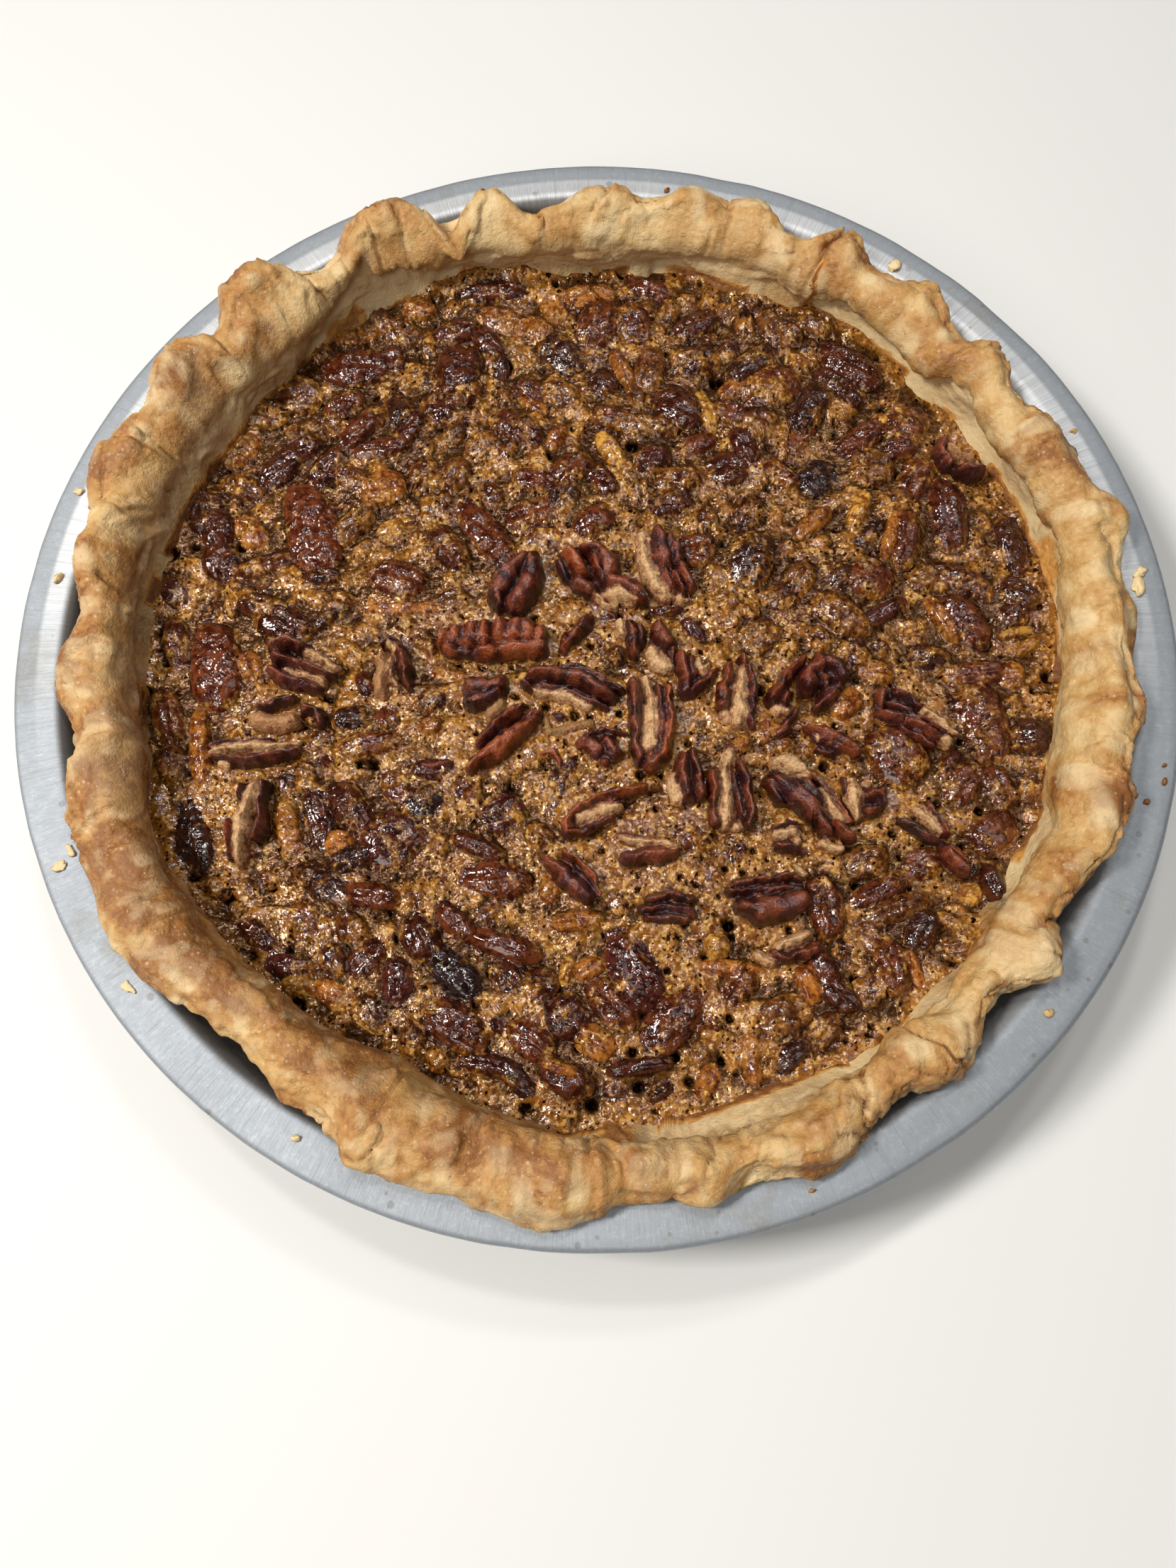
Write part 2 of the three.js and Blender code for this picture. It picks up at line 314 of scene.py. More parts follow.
def between(tree, value, low, high, out_low=0, out_high=1):
    """A value eased from one range to another, held at both ends."""
    inputs = {"Value": value, "From Min": low, "From Max": high, "To Min": out_low, "To Max": out_high}
    return place(tree, "MapRange", inputs, interpolation_type="SMOOTHSTEP").outputs[0]


def blend_colour(tree, factor, low, high, blend="MIX"):
    inputs = {0: factor, 6: low, 7: high}
    return place(tree, "Mix", inputs, data_type="RGBA", blend_type=blend).outputs[2]


def mark(tree, name, kind="Fac"):
    """One of the numbers or colours that a mesh carries on its points."""
    return place(tree, "Attribute", attribute_name=name).outputs[kind]


# %% Colours and materials
def srgb(red, green, blue):
    """A colour as it looks on a screen, from 0 to 255, made into the linear one shaders use."""
    def linear(c):
        c /= 255
        return c / 12.92 if c <= 0.04045 else ((c + 0.055) / 1.055) ** 2.4
    return (linear(red), linear(green), linear(blue), 1)


def paint(tree, colour, where, tone, strength=None):
    """The colour so far, turned towards a screen colour where a mask says."""
    return blend_colour(tree, times(tree, where, strength) if strength else where, colour, srgb(*tone))


def new_material(name, **plain):
    """A material with one Principled shader, and the values that are the same all over it."""
    material = bpy.data.materials.new(name)
    material.use_nodes = True
    tree = material.node_tree
    shader = tree.nodes["Principled BSDF"]
    for key, value in plain.items():
        shader.inputs[key.replace("_", " ").title().replace("Ior", "IOR")].default_value = value
    return material, tree, shader


# %% Node groups
def new_group(name, inputs, outputs):
    """A shader node group with float inputs, a vector named Place, and float or colour outputs."""
    tree = bpy.data.node_groups.new(name, "ShaderNodeTree")
    tree.interface.new_socket("Place", in_out="INPUT", socket_type="NodeSocketVector")
    for key, value in inputs.items():
        socket = tree.interface.new_socket(key, in_out="INPUT", socket_type="NodeSocketFloat")
        socket.default_value = value
    for key in outputs:
        kind = "NodeSocketColor" if key.endswith("Colour") else "NodeSocketFloat"
        tree.interface.new_socket(key, in_out="OUTPUT", socket_type=kind)
    start = tree.nodes.new("NodeGroupInput")
    end = tree.nodes.new("NodeGroupOutput")
    return tree, start.outputs, end.inputs


def use_group(tree, group, inputs):
    return place(tree, "Group", inputs, node_tree=group).outputs


# %% [markdown]
# ## Effects that several finishes share
# Four things come back on this object. Specks are round spots of uneven size: pale
# blisters on the pastry, pinholes in the filling, grime on the tin. Beads are the shallow
# domes of a glaze over small bubbles. Grain is noise at two sizes for a surface's fine
# relief. Streaks are noise stretched along one direction: brush lines in the aluminium.

# %% Specks and beads
def cells_at(tree, given):
    """Cells of a Size in mm: how far each one's middle is, and two steady random numbers of its own."""
    inputs = {"Vector": given["Place"], "Scale": over(tree, 1000, given["Size"])}
    cells = place(tree, "TexVoronoi", inputs)
    pick = place(tree, "SeparateColor", {0: cells.outputs["Color"]})
    return cells.outputs["Distance"], pick.outputs[0], pick.outputs[1]


def make_specks():
    """Round spots: Size is their spacing in mm and Share how much of it a spot fills."""
    inputs = {"Size": 1, "Share": 0.3, "Softness": 0.1}
    tree, given, put = new_group("Specks", inputs, ["Mask", "Dome", "Pick"])
    away, chance, pick = cells_at(tree, given)
    own_share = times(tree, given["Share"], minus(tree, times(tree, chance, 1.7), 0.7))
    inside = between(tree, away, own_share, plus(tree, own_share, given["Softness"]), 1, 0)
    wire(tree, put, {"Mask": inside, "Dome": times(tree, inside, pick), "Pick": pick})
    return tree


def make_beads():
    """Shallow domes, each of its own width and height: Size is their spacing in mm, Share their width."""
    tree, given, put = new_group("Beads", {"Size": 1.2, "Share": 0.45}, ["Height"])
    away, wide, tall = cells_at(tree, given)
    own = times(tree, given["Share"], between(tree, wide, 0, 1, 0.6, 1))
    dome = larger(tree, minus(tree, times(tree, own, own), power(tree, away, 2)), 0)
    wire(tree, put, {"Height": times(tree, dome, between(tree, tall, 0, 1, 0.5, 1))})
    return tree


# %% Grain and streaks
def make_grain():
    """Two sizes of noise in one height, Coarse and Fine in mm."""
    tree, given, put = new_group("Grain", {"Coarse": 2, "Fine": 0.5, "Fine Share": 0.5}, ["Height"])
    layers = []
    for key in ("Coarse", "Fine"):
        inputs = {"Vector": given["Place"], "Scale": over(tree, 1000, given[key]), "Detail": 3}
        layers.append(place(tree, "TexNoise", inputs).outputs["Fac"])
    wire(tree, put, {"Height": plus(tree, layers[0], times(tree, layers[1], given["Fine Share"]))})
    return tree


def make_streaks():
    """Noise in a place that is already stretched, hard or soft by Contrast."""
    tree, given, put = new_group("Streaks", {"Scale": 1, "Contrast": 0.2}, ["Mask"])
    inputs = {"Vector": given["Place"], "Scale": given["Scale"], "Detail": 4}
    lines = place(tree, "TexNoise", inputs).outputs["Fac"]
    low, high = minus(tree, 0.5, given["Contrast"]), plus(tree, 0.5, given["Contrast"])
    wire(tree, put, {"Mask": between(tree, lines, low, high)})
    return tree


SPECKS, GRAIN, STREAKS, BEADS = make_specks(), make_grain(), make_streaks(), make_beads()
BEAD_CURVE = 1.8
print("shared effects:", [g.name for g in bpy.data.node_groups])

# %% Placing the shared effects
def object_place(tree, upright=1):
    """A point's own place. With upright near 0, spots on a flat thing are cut through their middles."""
    here = place(tree, "TexCoord").outputs["Object"]
    return here if upright == 1 else vector_call(tree, "MULTIPLY", here, (1, 1, upright))


def round_place(tree, around, outward, upward):
    """Coordinates for lines on a round thing: how fast noise changes around it, outward and up."""
    x, y, z = place(tree, "SeparateXYZ", {0: object_place(tree)}).outputs
    radius = power(tree, plus(tree, times(tree, x, x), times(tree, y, y)), 0.5)
    cosine, sine = (times(tree, over(tree, side, radius), around) for side in (x, y))
    out = plus(tree, times(tree, radius, outward), times(tree, z, upward))
    return place(tree, "CombineXYZ", {0: cosine, 1: sine, 2: out}).outputs[0]


def bump(tree, height, strength, distance_mm, under=None):
    inputs = {"Height": height, "Strength": strength, "Distance": distance_mm * MM}
    return place(tree, "Bump", inputs if under is None else {**inputs, "Normal": under}).outputs[0]


def specks(tree, here, size, share=0.3, softness=0.1):
    return use_group(tree, SPECKS, {"Place": here, "Size": size, "Share": share, "Softness": softness})


def grain(tree, here, coarse, fine, share=0.5):
    inputs = {"Place": here, "Coarse": coarse, "Fine": fine, "Fine Share": share}
    return use_group(tree, GRAIN, inputs)["Height"]


def streaks(tree, scale, contrast, around, across):
    here = round_place(tree, around, across, across)
    return use_group(tree, STREAKS, {"Place": here, "Scale": scale, "Contrast": contrast})["Mask"]


def bead_bump(tree, here, size, share, where, under):
    """A glaze's beads where a mask says. A bead of size s and curve r is s * s / 2r high."""
    beads = use_group(tree, BEADS, {"Place": here, "Size": size, "Share": share})["Height"]
    return bump(tree, times(tree, beads, where), 1, size * size / 2 / BEAD_CURVE, under)


# %% Floor finish
floor_material, _, floor_shader = new_material("pale_table", roughness=0.6)
floor_shader.inputs["Base Color"].default_value = srgb(236, 236, 234)
floor_mesh.materials.append(floor_material)


# %% [markdown]
# ## The tin
# The tin is one disc of thin aluminium, spun or pressed over a form, with its edge
# rolled under so that it doesn't cut. A revolved profile is the natural way to make it.
# The flats of the frame's polygon would show in the highlight at the lip, so the same
# profile is turned again here with many more steps and real arcs, and small dents are
# pressed into the rolled edge.

# %% Tin shape
PAN_RADIUS, _, PAN_HEIGHT = np.array(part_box("pie_tin")[1]) / MM
SHEET = 1
WALL_LEAN = math.radians(38)
LIP_RADIUS, LIP_BEND, FOOT_BEND, EDGE_CURL = PAN_RADIUS - 8, 5, 4, 0.9
TIN_TURNS = 480


def arc(centre, radius, start, end, steps):
    a = np.linspace(start, end, steps)
    return np.stack([centre[0] + radius * np.cos(a), centre[1] + radius * np.sin(a)], -1)


def offset(path, distance):
    """A path moved sideways by a distance along its own normal."""
    along = np.gradient(path, axis=0)
    along /= np.linalg.norm(along, axis=1)[:, None]
    return path + np.stack([-along[:, 1], along[:, 0]], -1) * distance


def tin_profile():
    """The closed section of the sheet, from the axis underneath back to the axis inside."""
    half = SHEET / 2
    lip = (LIP_RADIUS, PAN_HEIGHT - LIP_BEND)
    wall_top = (lip[0] - LIP_BEND * math.cos(WALL_LEAN), lip[1] + LIP_BEND * math.sin(WALL_LEAN))
    foot_corner = wall_top[0] - (wall_top[1] - SHEET) * math.tan(WALL_LEAN) + half
    foot_reach = FOOT_BEND * math.tan((math.pi / 2 - WALL_LEAN) / 2)
    foot = (foot_corner - foot_reach, half + FOOT_BEND)
    curl = (PAN_RADIUS - half - EDGE_CURL, PAN_HEIGHT - half - EDGE_CURL)
    path = join([
        [(0, half), (foot[0] * 0.5, half), (foot[0] - 4, half)],
        arc(foot, FOOT_BEND, -math.pi / 2, -WALL_LEAN, 6),
        arc(lip, LIP_BEND - half, math.pi - WALL_LEAN, math.pi / 2, 9),
        [(LIP_RADIUS + 2.5, PAN_HEIGHT - half), (LIP_RADIUS + 5, PAN_HEIGHT - half)],
        arc(curl, EDGE_CURL, math.pi / 2, -math.pi * 0.45, 8),
    ])
    under, inside = offset(path, -half), offset(path, half)
    under[0, 0] = inside[0, 0] = 0
    return join([under, inside[::-1]])


def turned_tin():
    profile = tin_profile()
    turn = full_turn(TIN_TURNS)
    ring = profile[1:-1]
    radius, height = ring[:, 0:1] + 0 * turn, ring[:, 1:2] + 0 * turn
    on_edge = circle_points(70, 0, turn)
    edge = step(PAN_RADIUS - 4, PAN_RADIUS - 0.5, radius)
    dents = np.clip(noise(on_edge, 9, 5) - 0.35, 0, 1) * 0.9 + 0.12 * noise(on_edge, 3, 6)
    flange = step(LIP_RADIUS - 4, LIP_RADIUS + 2, radius)
    wave = 0.22 * noise(on_edge, 40, 7) + 0.05 * noise(on_edge, 8, 8)
    radius = radius - edge * np.abs(dents) * 0.5
    height = np.minimum(height, height + flange * (wave - 0.2) - edge * np.abs(dents) * 0.25)
    height = np.where(ring[:, 1:2] < 2, ring[:, 1:2] + 0 * turn, height)
    points = circle_points(radius, height, turn).reshape(-1, 3)
    poles = [(0, 0, profile[0, 1]), (0, 0, profile[-1, 1])]
    return mesh_object("spun_tin", join([points, poles]), capped_faces(len(ring), TIN_TURNS))


tin = turned_tin()
measure(tin)

# %% [markdown]
# Spun aluminium keeps the lines of the tool that shaped it: rings round the flange, and
# short cuts across the lip where knives and forks have been. Baking leaves faint brown
# films of fat. The lines are noise that changes slowly round the tin and fast across it.
# Where the sheet bends from the wall to the flange, a band next to the crust on the far side
# is painted near white and made a little smoother: a painted highlight of the lip's curve.
# Inside the bend, under the edge of the dough, the tin is painted dark: a painted shadow of
# the gap, weaker on the right.

# %% Tin finish
BRIGHT_TO, SHADE_TO = 122.6, 118.4


def tin_finish():
    material, tree, shader = new_material("spun_aluminium", metallic=1)
    rings = streaks(tree, 1500, 0.3, 5, 1)
    broad = streaks(tree, 320, 0.25, 2, 1)
    scratches = between(tree, streaks(tree, 190, 0.16, 1, 0.15), 0.95, 1)
    brush = streaks(tree, 420, 0.3, 1, 0.04)
    film = grain(tree, object_place(tree), 22, 5)
    stain = between(tree, film, 0.82, 1)
    across = object_place(tree, upright=0)
    from_axis = place(tree, "VectorMath", {0: across}, operation="LENGTH").outputs["Value"]
    right, far, _ = place(tree, "SeparateXYZ", {0: across}).outputs
    # A band next to the lip on the far side, painted near white: a painted highlight.
    bend = between(tree, from_axis, BRIGHT_TO * MM, (BRIGHT_TO - 1.3) * MM)
    bend = times(tree, bend, between(tree, far, -40 * MM, 50 * MM))
    painted_lip_highlight = times(tree, bend, between(tree, brush, 0, 1, 1, 0.55))
    colour = blend_colour(tree, rings, srgb(170, 176, 183), srgb(190, 195, 200))
    colour = paint(tree, colour, stain, (166, 160, 148), 0.3)
    colour = paint(tree, colour, brush, (150, 154, 160), 0.12)
    # The painted highlight at the lip.
    colour = paint(tree, colour, painted_lip_highlight, (250, 251, 252), 0.8)
    rubbed = grain(tree, object_place(tree), 1.3, 0.5, 0.9)
    colour = paint(tree, colour, between(tree, rubbed, 0.9, 1.3, 0, 0.16), (236, 240, 244))
    colour = paint(tree, colour, between(tree, rubbed, 0.75, 0.4, 0, 0.16), (138, 142, 148))
    # Painted shadow in the gap under the crust's edge, weaker on the right.
    gap = between(tree, right, 20 * MM, 90 * MM, 0.85, 0.45)
    shade = times(tree, between(tree, from_axis, SHADE_TO * MM, (SHADE_TO - 1.8) * MM), gap)
    colour = paint(tree, colour, shade, (74, 66, 58))
    grime = specks(tree, object_place(tree), 4.5, 0.16, 0.05)
    colour = paint(tree, colour, grime["Mask"], (120, 104, 84), 0.3)
    colour = paint(tree, colour, scratches, (130, 132, 136), 0.1)
    rough = plus(tree, 0.56, times(tree, broad, 0.1))
    rough = plus(tree, rough, times(tree, film, 0.12))
    rough = minus(tree, rough, times(tree, painted_lip_highlight, 0.2))
    relief = bump(tree, rings, 0.2, 0.05)
    relief = bump(tree, brush, 0.2, 0.03, relief)
    relief = bump(tree, scratches, 0.3, -0.04, relief)
    relief = bump(tree, film, 0.15, 0.5, relief)
    wire(tree, shader.inputs, {"Base Color": colour, "Roughness": rough, "Normal": relief})
    return material


tin.data.materials.append(tin_finish())
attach(tin, "root")
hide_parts("pie_tin")


# %% [markdown]
# ## The crust
# A hand-folded rim is rolled dough, lapped over the lip and pinched, so each fold reaches
# out and stands up by its own amount. The frame has those folds as flat facets. To get a
# baked surface from them, rays go out from the middle of the rim's section at each angle
# and find the frame's surface. The hits are smoothed, laid out in even rows, and moved
# along their normals by lumps, blisters, layers and cracks.

# %% Sections of the frame's crust
CRUST_CASTS = 480
SECTION_CASTS = 170
CRUST_TURNS = 1260
CRUST_ROWS = 66
RIM_CORE_HEIGHT = 34.4
INNER_END, OUTER_END = (101, 18), (106.5, 21)
HIDDEN_WALL_DROP = (12, 6.2)


frame_mesh = nodes["crust"].data
frame_points = np.empty(len(frame_mesh.vertices) * 3)
frame_mesh.vertices.foreach_get("co", frame_points)
frame_faces = [tuple(p.vertices) for p in frame_mesh.polygons]
crust_solid = BVHTree.FromPolygons((frame_points.reshape(-1, 3) / MM).tolist(), frame_faces)


def hit(start, direction):
    return np.array(crust_solid.ray_cast(Vector(start), Vector(direction))[0])


def cast_section(turn):
    """The section of the crust at an angle: radius and height of each hit round the core."""
    outward = np.array([math.cos(turn), math.sin(turn), 0])
    outer = hit(outward * 150 + (0, 0, RIM_CORE_HEIGHT), -outward)
    inner = hit(outward * 60 + (0, 0, RIM_CORE_HEIGHT), outward)
    core = (np.linalg.norm(outer[:2]) + np.linalg.norm(inner[:2])) / 2
    start = math.atan2(INNER_END[1] - RIM_CORE_HEIGHT, INNER_END[0] - core) + 2 * math.pi
    end = math.atan2(OUTER_END[1] - RIM_CORE_HEIGHT, OUTER_END[0] - core)
    found = []
    for angle in np.linspace(start, end, SECTION_CASTS):
        direction = outward * math.cos(angle) + np.array([0, 0, math.sin(angle)])
        point = hit(outward * core + (0, 0, RIM_CORE_HEIGHT), direction)
        found.append((np.linalg.norm(point[:2]), point[2]))
    return np.array(found)


# %% Even rows in every section
def even_rows(section, rows):
    """A section laid out again in rows of even length, closer together where it shows."""
    gaps = np.linalg.norm(np.diff(section, axis=0), axis=1)
    middle = (section[1:, 1] + section[:-1, 1]) / 2
    gaps = gaps * (0.35 + 0.65 * step(22, 29, middle))
    along = join([[0], np.cumsum(gaps)])
    want = np.linspace(0, along[-1], rows)
    return np.stack([np.interp(want, along, section[:, k]) for k in (0, 1)], -1)


def smooth(values, width, closed):
    """Gaussian smoothing along the first axis, which closes on itself or has its ends held."""
    reach = int(width * 3)
    weights = np.exp(-0.5 * (np.arange(-reach, reach + 1) / width) ** 2)
    weights /= weights.sum()
    padded = np.pad(values, [(reach, reach)] + [(0, 0)] * (values.ndim - 1), "wrap" if closed else "edge")
    return sum(w * padded[k : k + len(values)] for k, w in enumerate(weights))


def more_turns(values, count):
    """Values round a circle at more angles, by a periodic cubic through the given ones."""
    old = len(values)
    place_in = np.arange(count) * old / count
    low = np.floor(place_in).astype(int)
    t = (place_in - low).reshape(-1, *[1] * (values.ndim - 1))
    a, b, c, d = (values[(low + k) % old] for k in (-1, 0, 1, 2))
    return b + 0.5 * t * (c - a + t * (2 * a - 5 * b + 4 * c - d + t * (3 * (b - c) + d - a)))


cast_turns = full_turn(CRUST_CASTS)
sections = np.array([even_rows(cast_section(turn), CRUST_ROWS) for turn in cast_turns])
sections = smooth(sections, 1.6, closed=True)
sections = more_turns(sections, CRUST_TURNS).transpose(1, 0, 2)
crust_turn = full_turn(CRUST_TURNS)
degrees = np.degrees(crust_turn) + np.zeros((CRUST_ROWS, 1))
print("crust sections:", sections.shape, "height to", round(float(sections[..., 1].max()), 1))


# %% [markdown]
# The rim's relief has several sizes. Lumps of a centimetre come from fingers. Creases run
# along the rim where the folded edge lies on the wall. Blisters of one to three
# millimetres come from steam. Torn layers show at the outer edge, where the lower sheet
# of dough sticks out from under the upper one. Cracks cross the rim where it was bent.

# %% Crust relief
# Where the dough was bent round the dish it cracks and laps over itself:
# [angle, degrees it drifts from inside to outside, width, depth, height of the lap beside it].
CRACKS = rows_of("""
59.4 -1.2 .75 2.6 .7, 72.6 .8 .5 1.3 -.6, 97.2 3 .45 1.6 .9, 110.5 2 .35 .9 -.6, 127.4 2.2 .45 1.2 .8,
141 -.8 .45 1.1 .5, 143.5 4 .4 .9 -.6, 174.5 .5 .5 1 .7, 194 2.5 .5 .7 1.2, 203 3 .4 .7 -.9,
213 2 .35 .8 .6, 232 -3.5 .4 .4 .7, 247.5 2.5 .4 .8 -.8, 257.5 4.5 .5 .4 .9, 268.8 .6 .5 .8 1,
283 4.5 .4 .5 1, 297.2 -3.5 .5 1.7 .9, 305.5 3.5 .45 1.1 -1.3, 314 5 .5 .5 1.1, 323.2 3.4 .55 1.9 1.1,
331 4.5 .35 .6 .8, 341 -4 .4 .5 .8, 349 -4 .35 .7 -.6, 1.5 4.5 .4 .4 .9, 8 5 .4 .7 -.7, 22 3.5 .4 .5 1,
36.5 -3 .5 1 .9, 47 2.5 .4 .5 -.9, 84 3.5 .4 .5 .8, 88.5 -4.5 .45 1 -.8, 118 -3.5 .4 .5 .9, 156 4 .4 .9 .9,
165 -3 .4 .5 .8, 183 3.5 .5 .5 -.9
""")
LAP_FADE, DEEPEST_CRACK = 8, 2.8
# How far the inward roll reaches: [angle, share of the way from the crest down to the filling].
ROLL_REACH = rows_of("""
0 .75, 5 .77, 10 .43, 15 .64, 20 .46, 25 .58, 29 .66, 33 .38, 37 .41, 41 .8, 45 .7, 50 .6, 55 .5, 58 .73,
62 1.2, 70 1.15, 75 .95, 78 .78, 81 .9, 84 1.15, 95 1.2, 101 1, 105 .85, 109 .95, 113 .6, 118 .5, 121 .35,
125 .46, 130 .8, 135 1, 140 1.2, 165 1.25, 180 1.2, 198 1.05, 205 .75, 212 1, 235 1.05, 250 1.1, 262 1.1,
267 .75, 270 .5, 275 .52, 285 .48, 293 .5, 297 .7, 300 .6, 305 .6, 310 .85, 315 .95, 322 1.1, 328 .85,
332 .6, 336 .66, 340 1.1, 350 1.15, 356 .85
""")
ROLL_BULGE, FILL_LINE = 3.2, 23
# Where the rim stands out further than its folds, or less far: [angle, half its width, mm].
LOBES = rows_of("""
12 4 1.5, 35 3.5 2.4, 47 4 1.5, 57.5 2 2.5, 70 3 3, 78 4 2.5, 98.2 1.6 -3, 102 3 3, 108.4 1.8 -5, 113.5 3 4,
118.5 3 3.5, 132 4 4, 136.5 2 3, 146 4 4.5, 155 3 2, 160 3 1.5, 170 4 2.5, 196 3 2, 202 4 2.5, 215 3 1,
246.5 2.5 4, 252 3 1.5, 280 2 1.5, 320 2.5 4.5, 334 4 2.5, 340 4 2, 351 6 2
""")
# Where the wall shows below the roll: [angle, half width, mm the foot stands in, share of roll lost].
TUCKS = [(246, 8, 2.4, 0), (287, 11, 2.2, 0.9), (333, 5, 1.8, 0.7), (309, 3, 0.8, 0.5)]


# %% Helpers for the rim
def section_normals(radius, height):
    """Outward normals in each section's own plane."""
    dr, dz = np.gradient(radius, axis=0), np.gradient(height, axis=0)
    size = np.hypot(dr, dz) + 1e-9
    return -dz / size, dr / size


def angle_gap(a, b):
    return (a - b + 180) % 360 - 180


def at_angle(angle, width):
    """1 at an angle of the rim, in degrees, and less to both sides."""
    return bell(angle_gap(degrees, angle), width)


def bumps(size, seed):
    """Noise over the bare rim."""
    return noise(base, size, seed)


def rim_place(distance, along):
    """Places on a plain drum, so that noise in them runs round the rim."""
    return circle_points(0 * radius + distance, along, crust_turn)


# %% The bare rim
radius, height = sections[..., 0], sections[..., 1]
row = np.arange(CRUST_ROWS)[:, None]
crest_row = np.argmax(height, axis=0)
inside = step(-1, -7, row - crest_row) * step(0, 3, row)
radius = radius + (smooth(radius, 4, closed=False) - radius) * inside
height = height + (smooth(height, 4, closed=False) - height) * inside
out_r, out_z = section_normals(radius, height)
if out_z[np.argmax(height.mean(axis=1))].mean() < 0:
    out_r, out_z = -out_r, -out_z
base = circle_points(radius, height, crust_turn)
inner_side = step(1.5, -1.5, (row - crest_row) * 0.6)
across = (radius - radius.min(axis=0)) / np.ptp(radius, axis=0)
shown = step(24, 30, height)

# %% The inward roll
# The dough is rolled over inward, and the roll ends part of the way down to the filling.
steps = np.hypot(*(np.diff(v, axis=0) for v in (radius, height)))
walk = join([np.zeros((1, CRUST_TURNS)), np.cumsum(steps, axis=0)])
even_walk = smooth(walk.T, 30, closed=True).T
crest_walk = np.take_along_axis(walk, crest_row[None, :], axis=0)
fill_row = np.argmax(height > FILL_LINE, axis=0)
fill_walk = np.take_along_axis(walk, fill_row[None, :], axis=0)
down = (crest_walk - walk) / (crest_walk - fill_walk)
ragged = 0.05 * bumps(5, 51) + 0.03 * bumps(1.8, 52)
cover = np.interp(degrees, *np.array(ROLL_REACH).T, period=360) + ragged
roll = step(cover + 0.05, cover - 0.02, down) * inner_side
puff = ROLL_BULGE * np.sin(np.pi * np.clip(down / (cover + 0.12), 0, 1)) ** 0.8 * roll
foot = 0 * radius
for angle, width, inward, lost in TUCKS:
    near = at_angle(angle, width)
    foot += inward * near * bell(down - 1, 0.35) * inner_side
    puff *= 1 - lost * near
lobes = sum(lift * at_angle(angle, width) for angle, width, lift in LOBES)
lobe_lift = lobes * step(34, 37, height)
print("roll stands out by up to, mm:", round(float(puff.max()), 2))

# %% Lumps, blisters and creases
lumps = 1.3 * bumps(13, 11) + 0.45 * bumps(5.6, 12) + 0.14 * bumps(2.6, 10)
blisters = 0.19 * layered_noise(base, 2.2, 13) + 0.8 * np.clip(bumps(3, 14) - 0.3, 0, 1)
crease_height = 32.4 + 0.8 * noise(rim_place(70, 0), 11, 15)
crease = bell(height - crease_height, 0.75) * step(0.1, 0.9, inner_side) * (out_r < 0.2)
crease = crease * step(-0.1, 0.5, bumps(15, 26)) * (1 - roll)
fold_line = np.abs(noise(base * (1, 1, 0.6), 13, 16) + 0.25 * bumps(4, 17))
folds = bell(fold_line, 0.06) * shown * step(-0.3, 0.3, bumps(21, 18))

outer_side = step(0.15, 0.75, out_r) * shown
layer_reach = 2.3 * np.clip(noise(rim_place(112, 0), 16, 19) + 0.25, 0, 1)
torn = 0.7 * layer_reach + 0.35 * bumps(2.4, 20) * (layer_reach > 0.3)
upper_layer = outer_side * step(34.6, 35.3, height + 0.5 * bumps(5, 21))
crumbly = 0.4 * bumps(4.2, 24) + 0.16 * bumps(1.6, 25)
crumbly = outer_side * step(36.5, 34.6, height) * crumbly

# %% Wrinkles, slabs and sheets
# Wrinkles run along the rim, and hair cracks open where the skin dried.
along_place = rim_place(60, 2 * even_walk)
wrinkles = (0.7 * noise(along_place, 8.5, 63) + 0.3 * noise(along_place, 4, 64)) * shown
hair = bell(bumps(5.2, 61) + 0.35 * bumps(2, 65), 0.09)
hair *= step(0, 0.35, bumps(13, 62)) * shown * step(0.3, 0.7, across)

# Torn slabs of paler dough hang on the inner side, and their edges are sharp.
slab_edge = noise(base * (1, 1, 0.8), 10, 41) + 0.35 * bumps(3.2, 42)
slabs = step(0, 0.09, slab_edge) * inner_side * step(26, 28, height) * step(36.5, 33.5, height)
slabs = slabs * step(-0.15, 0.1, bumps(23, 43)) * (1 - 0.8 * roll)

# Sheets of dough peel off all over. Their edges run along the rim more than across it.
sheet_place = rim_place(66, 1.15 * even_walk)
sheets, sheet_edges = 0 * radius, 0 * radius
for size, rise, seed in ((11, 0.8, 91), (7, 0.4, 94)):
    level = noise(sheet_place, size, seed)
    level = level + 0.3 * bumps(2.8, seed + 1) + 0.12 * bumps(1.2, seed + 2)
    where = step(0, 0.4, bumps(19, seed + 3) + 0.25)
    sheets += rise * where * (step(0, 0.1, level) - 0.5)
    sheet_edges = np.maximum(sheet_edges, where * bell(level + 0.03, 0.05))
low_inside = inner_side * step(36, 33, height) * (1 + 0.6 * at_angle(222, 52))
sheets, sheet_edges = (part * shown * (1 - 0.6 * low_inside) for part in (sheets, sheet_edges))

# %% Cracks and laps
crack_depth, laps = 0 * radius, 0 * radius
for angle, drift, width, depth, lap in CRACKS:
    wander = angle + drift * (across - 0.5) + 0.55 * bumps(3.1, 22) + 0.25 * bumps(1.2, 23)
    gap_mm = np.radians(angle_gap(degrees, wander)) * radius
    ends = step(0.02, 0.3, across) * step(0, 0.3, 1.05 - across) * step(31, 34, height)
    crack_depth += depth * bell(gap_mm, width) * ends
    side = gap_mm * np.sign(lap)
    laps += abs(lap) * step(-0.3, 0.6, side) * np.exp(-np.maximum(side, 0) / LAP_FADE) * ends
crack_depth = np.minimum(crack_depth, DEEPEST_CRACK)
print("deepest crack, mm:", round(float(crack_depth.max()), 2))

